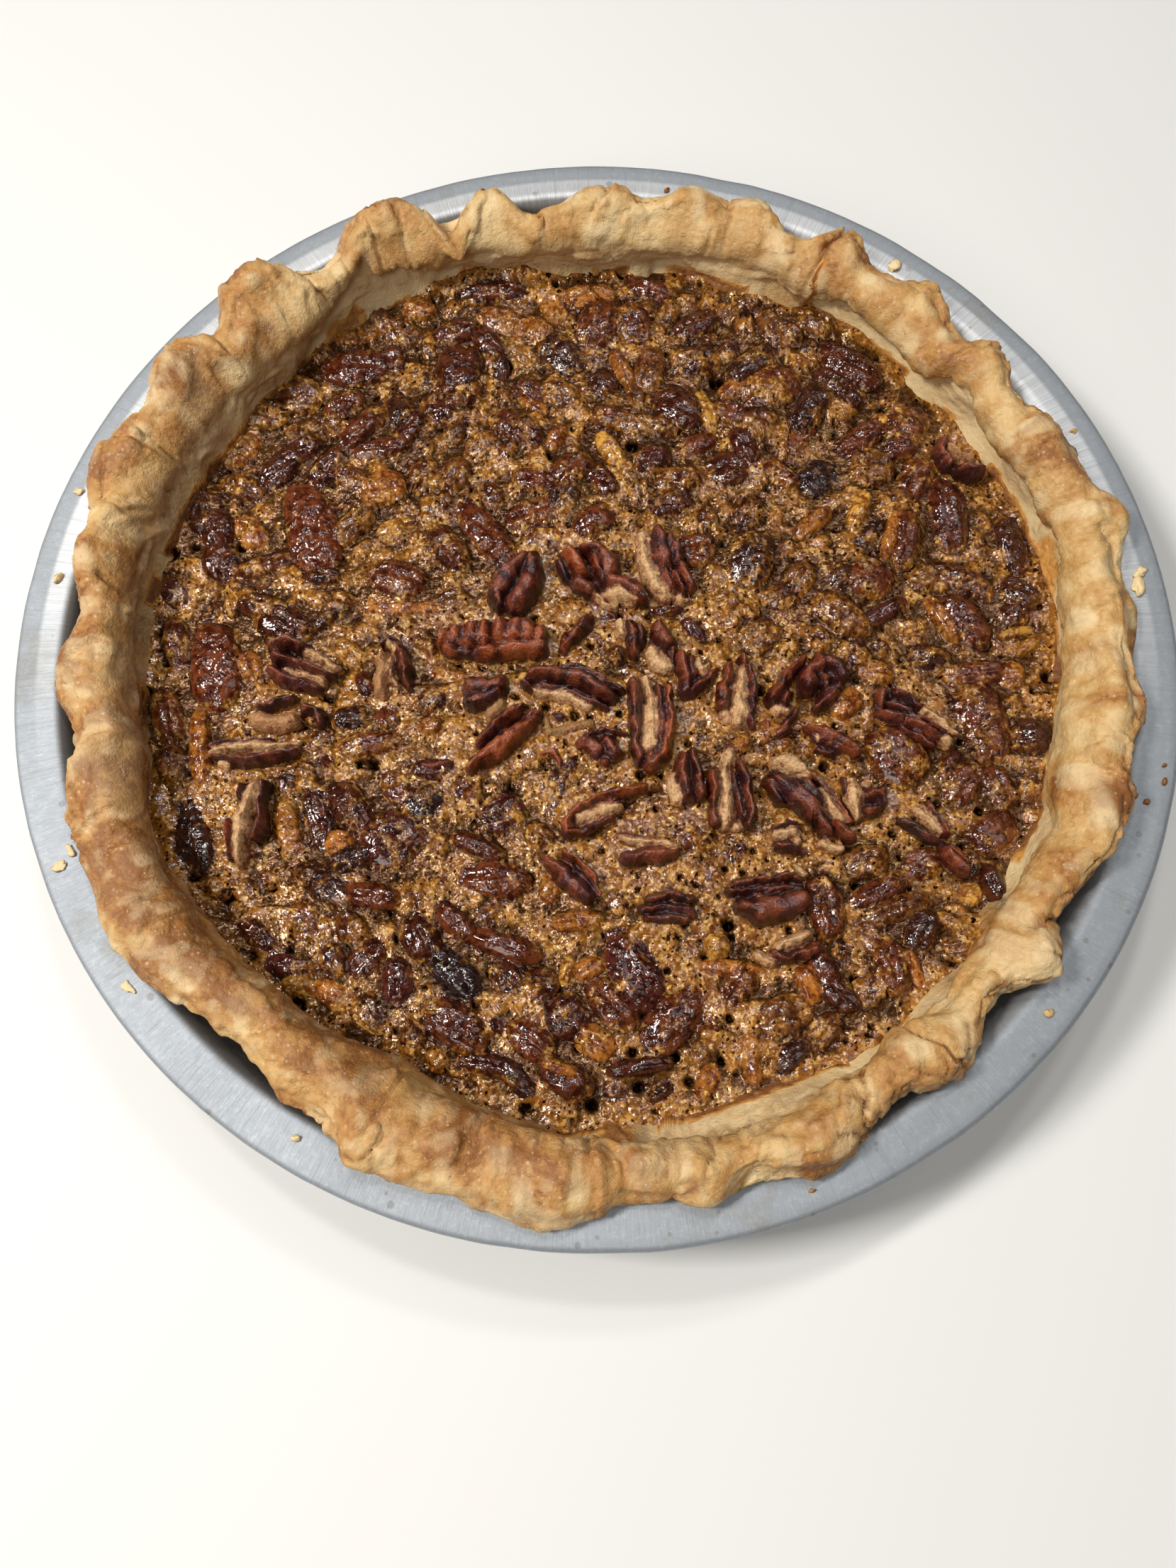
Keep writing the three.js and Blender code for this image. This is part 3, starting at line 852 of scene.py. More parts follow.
# %% Moving the surface
push = (lumps + blisters) * (0.35 + 0.65 * shown) + laps + 0.55 * slabs + sheets + crumbly + puff + foot
push = push + wrinkles - 0.8 * hair - 0.3 * crease - 0.35 * folds - crack_depth - 0.45
new_radius = radius + out_r * push - upper_layer * torn + 0.8 * lobe_lift
new_height = height + out_z * push + 0.5 * lobe_lift
over_flange = (out_z < -0.1) & (radius > 112)
new_height = np.where(over_flange, np.maximum(new_height, PAN_HEIGHT + 0.15), new_height)
print("the rim's relief, mm:", round(float(push.min()), 2), "to", round(float(push.max()), 2))

# %% Crust mesh
# Where syrup boiled up the wall: [angle, half its width in degrees, height it reached, thickness].
SYRUP_STAINS = [
    (271.6, 2.2, 31, 0.8), (10, 4, 29.5, 0.27), (59.4, 0.35, 36, 1),
    (125, 3.5, 27, 0.7), (108, 4, 25.5, 0.4),
]
# The dough's floor under the filling, and the corners of its underside: distance from the axis, height.
FLOOR_TOP, FLOOR_UNDER = 5.7, 1.7
OUTER_FOOT = [(100.2, 12), (95.2, 5.6), (90.8, FLOOR_UNDER)]


def crust_marks():
    """Browning, pale dough, syrup and cracks, one number each for every point of the rim. The browning and
    the cracks hold some painted shade, and the pale some painted light.
    """
    rim = step(30, 37, height)
    brown = 0.44 + 0.12 * rim * step(-0.2, 0.8, out_r) + 0.33 * layered_noise(base, 13, 31)
    brown = brown + 0.12 * sheets + 0.13 * lumps
    brown += 0.10 * step(36, 42, height) + 0.14 * bumps(4.5, 32)
    brown += 0.19 * at_angle(245, 65)
    pale = step(0.15, 0.55, bumps(5, 33)) * 0.6 + 0.55 * slabs + 0.35 * step(0.3, 0.7, sheets)
    shadow_side = at_angle(222, 52)
    cream = inner_side * (1 - roll) * step(0.25, 0.45, down) * (1 - 0.5 * shadow_side)
    pale = pale * (1 - 0.7 * shadow_side * inner_side) + 0.75 * cream
    # At two places low on the inner wall the dough is painted paler: partly paler dough, partly painted light
    # where the roll shades the wall.
    sunk = 0.7 * at_angle(152, 26) + 0.7 * at_angle(82, 26)
    pale += sunk * inner_side * step(0.3, 0.75, down) + 0.35 * step(0.3, 0.6, bumps(2.6, 66))
    # The inner wall on the shadow side and the whole rim on the left are painted browner: painted shade.
    brown += 0.25 * shadow_side * inner_side + 0.1 * at_angle(185, 35)
    syrup = step(24.3, 23.2, height + 0.9 * bumps(4, 35))
    soaked = step(27.6, 25, height + 1.6 * bumps(9, 39))
    soaked = soaked * step(-0.1, 0.5, bumps(14, 40) + 0.2)
    syrup = np.maximum(syrup, 0.09 * soaked)
    wobble = 1.6 * bumps(5, 37) + 0.7 * bumps(1.8, 38)
    for angle, width, top, depth in SYRUP_STAINS:
        reach = bell(angle_gap(degrees, angle) + 0.9 * bumps(3, 36), width)
        boiled = step(0.2, 0.75, reach) * step(top + 1.6, top - 1.6, height + wobble) * inner_side
        syrup = np.maximum(syrup, depth * boiled)
    # Cracks, creases, folds and the edges of sheets and slabs are painted darker: painted shade in these
    # recesses.
    crack = step(0.35, 1.5, crack_depth) + 0.1 * crease + 0.18 * folds + 0.22 * sheet_edges + hair
    crack += 0.25 * bell(slab_edge, 0.05) * (slabs > 0)
    made = {"browning": brown, "pale": pale, "syrup": syrup, "crack": crack}
    return {key: np.clip(value, 0, 1) for key, value in made.items()}


# %% Closing the crust
def build_crust():
    def ring(distance, level):
        return circle_points(distance, level, crust_turn)

    points = circle_points(new_radius, new_height, crust_turn)
    inner_foot = [ring(88.5, FLOOR_TOP)]
    for low in HIDDEN_WALL_DROP[::-1]:
        share = (low - HIDDEN_WALL_DROP[1]) / (INNER_END[1] - HIDDEN_WALL_DROP[1])
        inner_foot.append(ring(INNER_END[0] - 10.5 * (1 - share), low))
    outer_foot = [ring(*corner) for corner in OUTER_FOOT]
    stack = join([inner_foot, points, outer_foot])
    poles = [(0, 0, FLOOR_TOP), (0, 0, FLOOR_UNDER)]
    before, after = len(inner_foot) * CRUST_TURNS, len(outer_foot) * CRUST_TURNS + len(poles)
    marks = {
        key: join([np.zeros(before), value.ravel(), np.zeros(after)])
        for key, value in crust_marks().items()
    }
    faces = capped_faces(len(stack), CRUST_TURNS, outward=False)
    return mesh_object("folded_crust", join([stack.reshape(-1, 3), poles]), faces, marks)


crust = build_crust()
measure(crust)

# %% [markdown]
# Baked pastry is matte and warm. Its colour goes from cream in the folds, where the heat
# came late, through tan to orange-brown on the edges that stood highest. Small pale
# blisters are everywhere. Where syrup boiled over it, it is dark amber and shiny.

# %% Crust finish
def crust_finish():
    material, tree, shader = new_material("baked_pastry", specular_ior_level=0.45)
    here = object_place(tree)
    mottle, crumb = grain(tree, here, 5, 1.1, 0.7), grain(tree, here, 0.9, 0.35, 0.8)
    ragged_place = vector_call(tree, "ADD", here, times(tree, crumb, 1.1 * MM))
    flecks = specks(tree, ragged_place, 2.4, 0.34, 0.3)
    fine_flecks = specks(tree, here, 1, 0.3, 0.15)
    shift = times(tree, minus(tree, mottle, 0.85), 0.9)
    heat = plus(tree, mark(tree, "browning"), shift, clamp=True)
    ramp = place(tree, "ValToRGB", {"Fac": heat})
    stops = ramp.color_ramp.elements
    stops[0].position, stops[0].color = 0, srgb(226, 196, 143)
    stops[1].position, stops[1].color = 1, srgb(146, 93, 44)
    for position, tone in ((0.3, (214, 176, 117)), (0.52, (200, 155, 93)), (0.78, (183, 130, 71))):
        stops.new(position).color = srgb(*tone)
    colour = paint(tree, ramp.outputs[0], mark(tree, "pale"), (238, 214, 166), 0.72)
    strength = between(tree, flecks["Pick"], 0, 0.34, 0.6, 0.1)
    spots = larger(tree, times(tree, flecks["Dome"], strength), times(tree, fine_flecks["Dome"], 0.45))
    colour = paint(tree, colour, spots, (236, 212, 170))
    # Cracks and creases painted darker, painted shade; on the crumbs this mark is burnt specks.
    colour = paint(tree, colour, mark(tree, "crack"), (128, 78, 38), 0.7)
    depth = mark(tree, "syrup")
    wet = between(tree, depth, 0.06, 0.3)
    syrup = blend_colour(tree, between(tree, depth, 0.3, 0.95), srgb(214, 148, 62), srgb(128, 66, 20))
    colour = blend_colour(tree, times(tree, wet, 0.9), colour, syrup)
    relief = bump(tree, crumb, 0.55, 0.3)
    relief = bump(tree, mottle, 0.6, 0.5, relief)
    relief = bump(tree, flecks["Dome"], 0.5, 0.3, relief)
    wire(tree, shader.inputs, {
        "Base Color": colour,
        "Roughness": between(tree, wet, 0, 1, 0.55, 0.2),
        "Coat Weight": wet,
        "Normal": bead_bump(tree, here, 1.8, 0.85, wet, relief),
    })
    return material


PASTRY = crust_finish()
crust.data.materials.append(PASTRY)
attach(crust, "root")
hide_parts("crust")


# %% [markdown]
# ## What lies in the filling
# A pecan pie's top is a crowd. Most nuts float up while the syrup is still liquid, get a
# thin glaze and are half buried in foam, so only their backs show. They are listed here
# as the baker would see them from above: middle of the nut, length, width, heading, a
# letter for its colour, how far its back rises over the foam and how bare it is.

# %% Nut colours
NUT_COLOURS = {
    "k": srgb(72, 38, 25), "n": srgb(54, 36, 36), "p": srgb(82, 36, 27), "d": srgb(86, 40, 21),
    "m": srgb(110, 56, 39), "r": srgb(110, 54, 26), "c": srgb(156, 90, 42), "b": srgb(118, 70, 28),
    "o": srgb(176, 110, 42), "y": srgb(208, 154, 66), "t": srgb(184, 132, 82), "w": srgb(224, 180, 128),
    "f": srgb(150, 112, 58),
}

# %% Glazed nuts
# [x, y, length, width, heading, colour, rise, bareness]
GLAZED_NUTS = rows_of("""
-57 74.5 17 9 4 d 2.4 .8, -50.5 76 9 8 20 d 2 .7, -33 75 12 10 80 d 2.6 .9, -71 67 10 9 -60 b 1.8 .5,
-74 48 13 7 52 d 2.5 .9, -69 53 11 5.5 35 d 2.2 .8, -63 48 13 6 55 d 2 .6, -55 58 14 6 48 r 2.2 .7,
-51 52 14 5 12 r 2 .6, -48 86 12 7 -30 b 2 .4, -52 88 9 5 -60 b 1.8 .5, -43 91 8 5 0 o 1.8 .5,
-58 84 10 5 20 o 1.5 .4, -67 80 8 5 -60 r 1.5 .4, -76 75 9 5 30 o 1.5 .3, -80 62 12 7 -10 b 2 .4,
-60 64 10 5 30 r 2 .5, -47 63 10 6 -60 k 1.8 .5, -44.5 57 14 5 58 d 2 .6, -84 52 10 6 45 o 1.6 .3,
-84 43 12 6 -20 b 1.8 .4, -92.5 39 10 6 -10 d 1.8 .5, -50 41.5 10 8 10 o 2 .5, -41 45 9 6 60 r 1.8 .5,
-57 44 8 5 -30 r 1.5 .3, -62 58 10 5 -40 b 1.5 .3, -38 63 9 8 80 d 2 .6, -34 85 10 6 15 d 2.2 .7,
-25 96 17 6 8 d 2.2 .7, -21 88 15 7 -25 o 2 .4, -26 83 10 6 -60 d 2 .7, -23.5 76 9 5 -75 d 2 .7,
-9 91 12 6 -60 o 2 .4, -7.5 78 13 8 -50 k 2.2 .6, -15 68.5 9 5 -30 r 2.2 .7, -14.5 64.5 9 4 -40 o 1.8 .6,
0 95 13 6 5 o 2.2 .5, 1.5 86 14 9 75 r 2.6 .6, 10 86 11 8 -70 r 2.4 .6, 13.5 97 13 5 -22 r 2.2 .7,
25.5 86 12 6 25 d 2.4 .8, 19 90 7 5 60 k 1.8 .5, 7.5 73 11 4 -62 o 2.2 .7, 10 66.5 8 4 -70 b 2 .6,
13.5 73 12 7 80 b 2.2 .5, 2.5 70 7 6 60 d 2.2 .85, 20.5 63 13 9 -35 d 2.6 .8, 27.3 62 13 4 -75 y 2.4 .8,
25 76 12 8 10 d 2.2 .5, 4 60.5 10 5 -10 r 2 .5, 12 58 18 5 -10 b 2.2 .5, 4 51.5 11 4.5 -62 y 2.4 .8,
14 48 8 7 30 p 2 .5, 25 53 9 5 20 r 2 .6, 31 46 10 8 0 d 2.4 .8, -18.5 57.5 14 7 -35 d 2.2 .6,
-9 54.5 7 4 60 o 2.2 .8, -5.5 46 11 7 40 r 2.4 .7, 2 43 9 5 -60 d 2 .6, -14 43 10 5 -10 r 1.8 .5,
-33 45 9 6 70 b 2 .5, -26 53 9 6 30 b 1.8 .4, -32 68 10 8 0 r 2.2 .5, -25 40 8 5 -50 d 1.8 .5,
-8 67 9 6 -20 b 1.8 .4, -33 58 8 5 70 k 1.6 .4, 20 43 12 6 5 b 2 .5, -14 86 8 6 -50 o 1.8 .3,
62 73.5 17 8 -38 d 3 .85, 60 67.5 14 6 -36 d 2.6 .8, 53 63 17 7 57 k 2.6 .7, 50.5 56 14 5 62 r 2.2 .6,
64 54 14 6 40 r 2.6 .8, 68.5 58 6 4 60 y 2.2 .8, 75 58 12 10 60 r 2.6 .5, 73 51 8 5 10 d 2.2 .8,
43 68 14 10 20 r 2.4 .4, 39 75 14 6 35 k 2.2 .6, 36 52 10 5 -55 d 2.2 .8, 40 58 9 7 20 r 2 .4,
53 43.5 10 8 30 n 2.2 .7, 44 44 10 5 -40 r 2 .5, 66 46 10 9 0 b 2.4 .4, 76 43 12 7 60 r 2.2 .5,
45 84 12 6 -60 b 2 .4, 39 92 10 5 -40 d 1.8 .5, 48 84 8 4 -50 d 2 .5, 55 86 9 6 -30 b 1.6 .3,
-92 34 11 7 -65 d 2.2 .6, -88 31.5 11 7.5 -80 d 2.8 .85, -87 23 10 7.5 -75 d 2.8 .85,
-81 31 10 6 -50 o 2 .4, -66 31 24 10.5 -75 r 3 .8, -77 22 14 5 18 r 2.2 .5, -75 11 13 5 -12 d 2.2 .5,
-71 7 14 8 -25 d 2.6 .7, -86 -3 20 10 -84 r 3 .9, -88 -22 17 4.5 -83 o 2.4 .75, -46 18 13 8 -12 r 2.4 .6,
-63 18.5 8 4 0 d 2 .6, -62 8 7 3 45 k 1.8 .6, -45 10.6 16 3 0 o 1.6 .7, -56 0 9 5 -45 y 2 .5,
-52 -8 6 3.5 -70 d 2 .7, -55 -16 8 5 10 k 2 .6, -50 -22 13 5 10 r 1.8 .5, -46 31 9 6 20 y 1.8 .4,
-95 2 13 5 -75 r 1.8 .5, -96 -15 14 6 -70 r 1.8 .5, -97 17 10 6 -70 d 1.5 .4, -78.5 -3 7 5 -60 o 1.8 .6,
-37 -12 7 5 50 p 1.8 .4, -37 -18 5 4 0 o 2 .8, -57 32 12 6 45 b 2 .4, -25.5 30 20 7 -52 r 2.6 .7,
-34 26 12 6 -55 d 2.2 .6, -14 35 14 7 20 r 2 .5, 0 32.5 10 7 30 r 2.4 .6, -33 13 7 6 20 b 1.6 .4,
24 25 9 8 0 r 2 .5, 22.5 4.3 7 3 -50 p 1.8 .75, 16 9.4 7 2.4 5 d 1.8 .85, 5 -1.5 5 4 0 k 1.6 .5,
72 27 15 6 80 r 2.6 .7, 69 28 13 3.5 72 o 2.4 .75, 83 33 19 8 -85 d 3 .85, 63.5 17 10 9 -20 r 2.4 .6,
65 8 13 4 32 p 2.4 .7, 85 16 14 6 -30 d 2.4 .5, 76 17 8 6 30 b 2 .5, 84.5 6 14 7 -55 r 2.8 .7,
79 7 12 4 -65 o 2.2 .6, 97 25 15 6 -80 d 2 .85, 97 13 9 6 -30 d 2 .6, 96 8 7 6 30 d 2 .6,
96 3.5 9 2.5 15 y 2 .7, 98.5 .5 8 2.5 35 y 2 .6, 85 -6.5 14 5 3 r 2.4 .6, 86 -18 19 10 -75 r 2.8 .6,
76 -3 10 6 -20 k 2.2 .6, 66 -26 14 11 -60 r 3 .55, 55.5 -13 8 6 50 o 2.4 .8, 63 -6 8 5 -20 o 2 .5,
96 -22 9 7 -10 k 2.4 .65, 36 22 14 9 75 k 2.4 .5, 47 17 8 6 60 b 2 .4, 43 13 10 6 20 d 2 .5,
36 35 9 6 60 d 2 .5, 51 31.5 11 4 38 o 2.2 .8, 62 35 10 4 68 y 2.2 .8, 57 17.5 7 5 40 k 2 .5,
56 8 14 7 -40 b 2.2 .4, 37 3 10 7 30 b 1.8 .4, 93 -7 7 5 60 o 2 .5, 58 -2 8 5 -30 p 1.8 .5,
-88 -43 17 7 -76 k 2.2 .85, -61 -39 16 5.5 -72 d 2.2 .7, -54 -37 14 7 -60 d 2.4 .75,
-44 -43.5 14 11 20 p 2.6 .6, -56 -44.5 6 5 -20 o 2.2 .85, -53 -48 10 5 20 k 2 .6, -58 -54 16 6 -34 k 2.4 .6,
-48.5 -56 12 5 -12 r 2.4 .85, -72 -64 10 4 -38 d 1.8 .65, -65 -71 11 5 -8 p 2 .7,
-62 -75.5 9 4 -20 y 1.6 .5, -56 -70 8 5 -60 d 1.8 .5, -49 -69.5 9 6 50 d 2 .6,
-42.3 -74.5 10 6 -88 p 2.4 .85, -38 -65 10 7 -60 d 2.2 .6, -52 -63 10 5 -50 b 2 .4,
-55 -77 10 5 -30 o 1.5 .4, -67 -42 16 5 -75 o 2 .4, -47 -81 9 6 -30 k 1.6 .4, -22.5 -52.5 15 7 -8 r 2.6 .7,
-26 -45.7 12 4 -25 d 2.2 .8, -21 -38 10 8 30 p 2 .5, -30.5 -62 11 5 -42 r 2.6 .9,
-19.5 -67 16 5 -20 r 2.8 .9, -31 -72.5 14 7 -42 n 2.4 .85, -19 -73 9 7 -60 d 2.2 .6, -13 -75 8 6 10 d 2 .5,
-30.5 -83.5 15 8 -35 d 2.4 .75, -7 -81.5 9 8 -60 p 2.4 .7, 7 -72 17 9 -62 p 2.6 .75,
2.5 -79.5 13 7 -50 r 2.4 .6, 15 -82 16 9 52 r 2.6 .75, 8 -91.8 13 3.6 8 d 2.4 .95,
-7 -94.5 11 6 -20 d 2.2 .75, -8 -92.5 8 3 -20 o 2.6 .7, -14.5 -86.5 11 6 -40 r 2.2 .65,
-1 -87 9 6 -30 o 2 .5, -5 -62 10 4 5 o 2 .7, -7 -72.5 6 3 75 y 2.2 .8, -2 -71.5 7 4 30 o 2 .6,
24.5 -67.5 5.5 5 10 y 2.8 1.3, 26 -72 15 3.5 -3 o 2.2 .7, 28 -77 11 5 48 r 2 .6, -17 -94.5 10 4 -45 k 2 .65,
-24 -91 11 4 -10 d 2 .65, 12 -97 6 3 30 d 1.5 .7, -10 -54 8 4 80 o 1.6 .5, 21.5 -95 8 4 70 o 1.6 .5,
48 -59 14 7 -82 r 2.6 .6, 60.5 -55.5 16 5 25 r 2.6 .7, 63.5 -60 14 5 20 b 2.2 .6, 57 -49.5 10 6 10 b 2 .4,
68 -65 10 6 62 k 2.4 .75, 61 -72 13 6 -76 r 2.4 .6, 65.5 -73 9 3.5 -70 o 2 .6, 57.5 -66 10 5 -60 b 2 .4,
84 -55 9 4.6 -70 d 2.8 1, 79 -57 5 5 0 y 1.8 .7, 79.5 -50 6 4 -80 k 1.8 .7, 76 -64 12 3 -30 y 1.8 .5,
46.5 -72 10 5 -60 d 2.6 .8, 50 -78 9 5 -35 d 2.4 .8, 43.5 -76 8 5 -70 o 2.2 .8, 39 -90 9 4.5 40 k 2 .75,
86 -43.5 11 8 30 r 2.2 .6, 70 -50 9 6 20 r 2.2 .5, 76 -68 8 6 10 b 1.8 .3, 38 -82 11 7 20 b 1.8 .4,
45 -86 11 6 40 b 1.8 .4, 56 -77 8 6 30 b 1.8 .4, -8 38 11 7 70 k 1.8 .4, 33 61 9 6 -30 r 1.8 .5,
34 68 8 5 40 o 2 .6, -36 -28 9 4 2 p 2 .85, 18 37 10 7 10 d 2 .5, 70 36 9 6 30 b 1.8 .4,
-44 -32 9 6 -50 r 1.8 .5, -38 -35.5 9 6 40 n 1.8 .5, 80 -33 12 6 60 r 2 .5, 88 -33 10 6 -60 r 2 .5,
95 -33 8 5 60 b 1.8 .5, 77 -29 9 3.5 65 p 2 .6
""")
FILL_TRIES, FILL_SEED, FILL_REACH, FILL_COLOURS = 5000, 41, 98, list("rrrbbbddkpoo")


# %% Smaller nuts in the gaps
def top_spots():
    """Circles that keep the nuts lying on top clear: middle and radius of each one's box."""
    spots = []
    for node in nodes:
        if node.startswith("pecan"):
            low, high = np.array(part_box(node)) / MM
            spots.append((*((low + high) / 2)[:2], 0.3 * (high - low)[:2].sum()))
    return np.array(spots)


def capsule(x, y, length, width, heading):
    """A nut's footprint as three circles."""
    step_out = max(length - width, 0) / 2
    dx, dy = step_out * math.cos(math.radians(heading)), step_out * math.sin(math.radians(heading))
    return np.array([(x + k * dx, y + k * dy, width / 2) for k in (-1, 0, 1)])


def scatter_more(nuts):
    """Fill what is left with smaller, more deeply sunk nuts, none on top of another."""
    rng = np.random.default_rng(FILL_SEED)
    nuts = list(nuts)
    taken = join([capsule(*n[:5]) for n in nuts] + [top_spots()])
    for _ in range(FILL_TRIES):
        spin, reach = rng.random() * 2 * math.pi, FILL_REACH * math.sqrt(rng.random())
        x, y = reach * math.cos(spin), reach * math.sin(spin)
        length, width = rng.uniform(4, 10), rng.uniform(3, 5.5)
        heading, letter = rng.uniform(-90, 90), FILL_COLOURS[rng.integers(len(FILL_COLOURS))]
        rise, bare = rng.uniform(0.5, 1.5), rng.uniform(0.05, 0.5)
        own = capsule(x, y, length, width, heading)
        room = np.hypot(own[:, None, 0] - taken[None, :, 0], own[:, None, 1] - taken[None, :, 1])
        if np.any(room < 0.98 * (own[:, None, 2] + taken[None, :, 2])):
            continue
        nuts.append((x, y, length, width, heading, letter, rise, bare))
        taken = join([taken, own])
    return nuts


all_glazed = scatter_more(GLAZED_NUTS)
print("glazed nuts:", len(GLAZED_NUTS), "listed,", len(all_glazed) - len(GLAZED_NUTS), "more")


# %% [markdown]
# ## How a glazed nut is shaped
# A pecan half has a domed back with a groove down its middle, a shallower one on either
# side, and fine wrinkles across. One function gives that height for any point over the
# nut. The nuts' own meshes use it, and so does the foam, which drapes over them.

# %% Back of a pecan
FOAM_LEVEL = 22.25
NUT_SEAT = 0.9
UNDER_FOAM = (1.12, 1.2)  # a nut is this much longer and wider than what the foam leaves bare


def nut_arrays(nuts):
    """One array for each thing that the list says of a nut, and a few more that only chance decides."""
    keys = {"x": 0, "y": 1, "length": 2, "width": 3, "heading": 4, "rise": 6, "bare": 7}
    columns = {key: np.array([n[i] for n in nuts], float)[:, None, None] for key, i in keys.items()}
    columns["length"] = columns["length"] * UNDER_FOAM[0]
    columns["width"] = columns["width"] * UNDER_FOAM[1]
    rng = np.random.default_rng(12)
    columns["tip"] = rng.uniform(-0.7, 0.7, (len(nuts), 1, 1))
    columns["roll"] = rng.uniform(-0.45, 0.45, (len(nuts), 1, 1))
    columns["away"] = rng.uniform(0, 900, (len(nuts), 1, 1, 3))
    columns["heading"] = np.radians(columns["heading"])
    return columns


def back_height(a, b, nut):
    """Height over the foam's level of a nut's back; a and b run from -1 to 1 along and across."""
    spot = xyz(a * nut["length"] / 2, b * nut["width"] / 2, 0) + nut["away"]
    ragged = 0.16 * noise(spot, 4.5, 50)
    inside = np.clip(1 + ragged - np.abs(a) ** 2.6 - np.abs(b) ** 2.2, 0, 1)
    sway = 0.26 * noise(spot * (1, 0, 0), 5, 51)
    groove = bell(b - sway, 0.17) + 0.6 * bell(b - sway - 0.58, 0.12) + 0.6 * bell(b - sway + 0.58, 0.12)
    wrinkle = noise(spot * (1, 0.4, 1), 1.6, 52) + 0.8 * noise(spot, 2.8, 53)
    body = (NUT_SEAT + nut["rise"]) * np.sqrt(inside)
    relief = (0.34 * wrinkle - groove) * np.minimum(1, nut["width"] / 7) * np.sqrt(inside)
    tilt = nut["tip"] * a + nut["roll"] * b
    return body + relief + tilt - NUT_SEAT, inside


def foam_swell(x, y):
    """The foam's own level over the part's floor, before anything lies in it."""
    spot = xyz(x, y, 0)
    edge = np.hypot(x, y)
    level = FOAM_LEVEL + 0.35 * (1 - (edge / 105) ** 2)
    level = level + 0.5 * noise(spot, 14, 61) + 0.45 * noise(spot, 4.6, 62)
    slabs = noise(spot, 17, 57) + 0.25 * noise(spot, 5, 58)
    level = level + 0.9 * step(-0.02, 0.05, slabs) - 0.45
    angle = np.degrees(np.arctan2(y, x))
    climb = 0.7 + 2.6 * bell(angle - 104, 17) + 1.2 * bell(angle - 62, 14) + 0.6 * noise(spot, 7, 60)
    return level + climb * step(97, 105, edge) + 0.16 * noise(spot, 1.9, 63)


# %% [markdown]
# ## The filling's surface
# The sheet of foam is a height over a disc. A square grid is folded into the disc so that
# no cells crowd at the middle. Each nut lifts the foam to just over or just under its own
# back, by a noise that stands for how the syrup ran off, so the nuts break through in
# ragged patches. Burst bubbles leave round holes; the larger ones are cut into the mesh.

# %% The disc and its holes
FOAM_CELLS = 306
FOAM_REACH = 105.2
# Holes that stand out: [x, y, radius].
HOLES = rows_of("""
-83.5 31.5 1.7, -98.5 25 2.2, -82.5 27 1.3, -93 27 1.1, -81.5 .5 .9, -96.5 12 .9, -83 16 .8, -99 5.5 1.2,
-97 -2 1.2, -101 -9 1.3, -101 -13.5 1, -90.6 -4 .9, -52.5 -26.5 1, -49.3 -26.7 1.1, -63.5 -61.7 .9,
-64 -63.8 1.2, -70 -54 1, -78.5 -56 1.9, -75.5 -56 .9, -73 -68.5 1.1, -65 -67.5 .8, -86.5 -51.5 1.4,
-63 -79 2, -60 54 1.1, -83.5 51.5 1.1, -38 87 1.1, -17 78 1.7, -21 75.5 1.5, -6 86.5 1, -7 101.5 1.5,
1 101.5 1.2, 7.5 101 1.4, 12 102.5 1.2, -9 98 1, 22 88.5 1, 16.5 94.3 1, 18.7 94.3 .9, 30 70 1.7,
33 61.5 1.2, 9 52.5 1.6, 37.5 88 1.2, 71.5 64.5 1.4, 58 58.5 .8, 63 58.5 .8, 67 49.5 1.3, 72 44 1.1,
72.5 20.5 1.4, 66 24 .9, 88.5 .5 1.5, 101.3 -7.5 1.5, 97.5 -11 .9, 87 -27 1.1, 80.5 -22.5 .9, 88.5 -15 1,
91 -18.5 .9, 83 -38.5 1.2, 73.5 -37 1, 63.5 -43.3 1, 78.3 -46.6 .9, 64.8 -48.7 .8, 56.5 -49 .8,
55 -54.8 1.1, 66 -55 .9, 62.5 -62 .8, 53 -74.7 1, 48.5 -82.8 .9, 55.5 -84.5 .8, 38 -23.9 1.1,
36.6 -10.5 1.1, 49.8 -28 1.2, 27.3 -63 1.4, 26 -69.9 1.1, 7 -79 1.2, 8.3 -83 1.8, 14 -72.5 .9, 12.8 -78.3 1,
6.5 -89 1.1, 15.2 -90.2 1.2, 17.8 -95 1.1, 24.5 -91 .9, 26.5 -82.5 1, -15 -52.5 1.2, -9.7 -76 1.3,
-4.8 -88.2 1, -15.5 -100 1.4, -2 -99.6 1.5, -23 -72.7 1, -26 -79.3 .8, 7.5 -96 1.4, -14.2 7.9 .9,
-19 -3.7 .8, 11.9 8.3 .9, -11.5 -13.5 1, -5 -15.8 1, -1.7 -16.2 .8, 15.9 -8.5 .8, 20 -22.5 .9, 9.3 -29.6 1,
13.4 -29.8 1, 35.5 -12.2 .7, -66.2 -16.5 1.6, -81.7 -7 1.2, -81.4 -4 1, -81.9 -10 1.1, 47 -58 .8,
-12 -27 .7, 12.5 -37.3 .8
""")
SMALL_HOLES, SMALL_SEED = 520, 77


def folded_square(cells):
    """A square grid of points folded into a disc of radius 1."""
    line = np.linspace(-1, 1, cells + 1)
    u, v = np.meshgrid(line, line, indexing="ij")
    reach = np.maximum(np.abs(u), np.abs(v))
    wide = np.abs(u) >= np.abs(v)
    safe_u, safe_v = np.where(u == 0, 1, u), np.where(v == 0, 1, v)
    angle = np.where(wide, v / safe_u * math.pi / 4, math.pi / 2 - u / safe_v * math.pi / 4)
    angle = np.where(np.where(wide, u < 0, v < 0), angle + math.pi, angle)
    return reach * np.cos(angle), reach * np.sin(angle)


def edge_walk(cells):
    """The grid's border points in order, as one index each."""
    n = cells + 1
    i = np.arange(cells)
    return join([i * n, cells * n + i, (cells - i) * n + cells, cells - i])


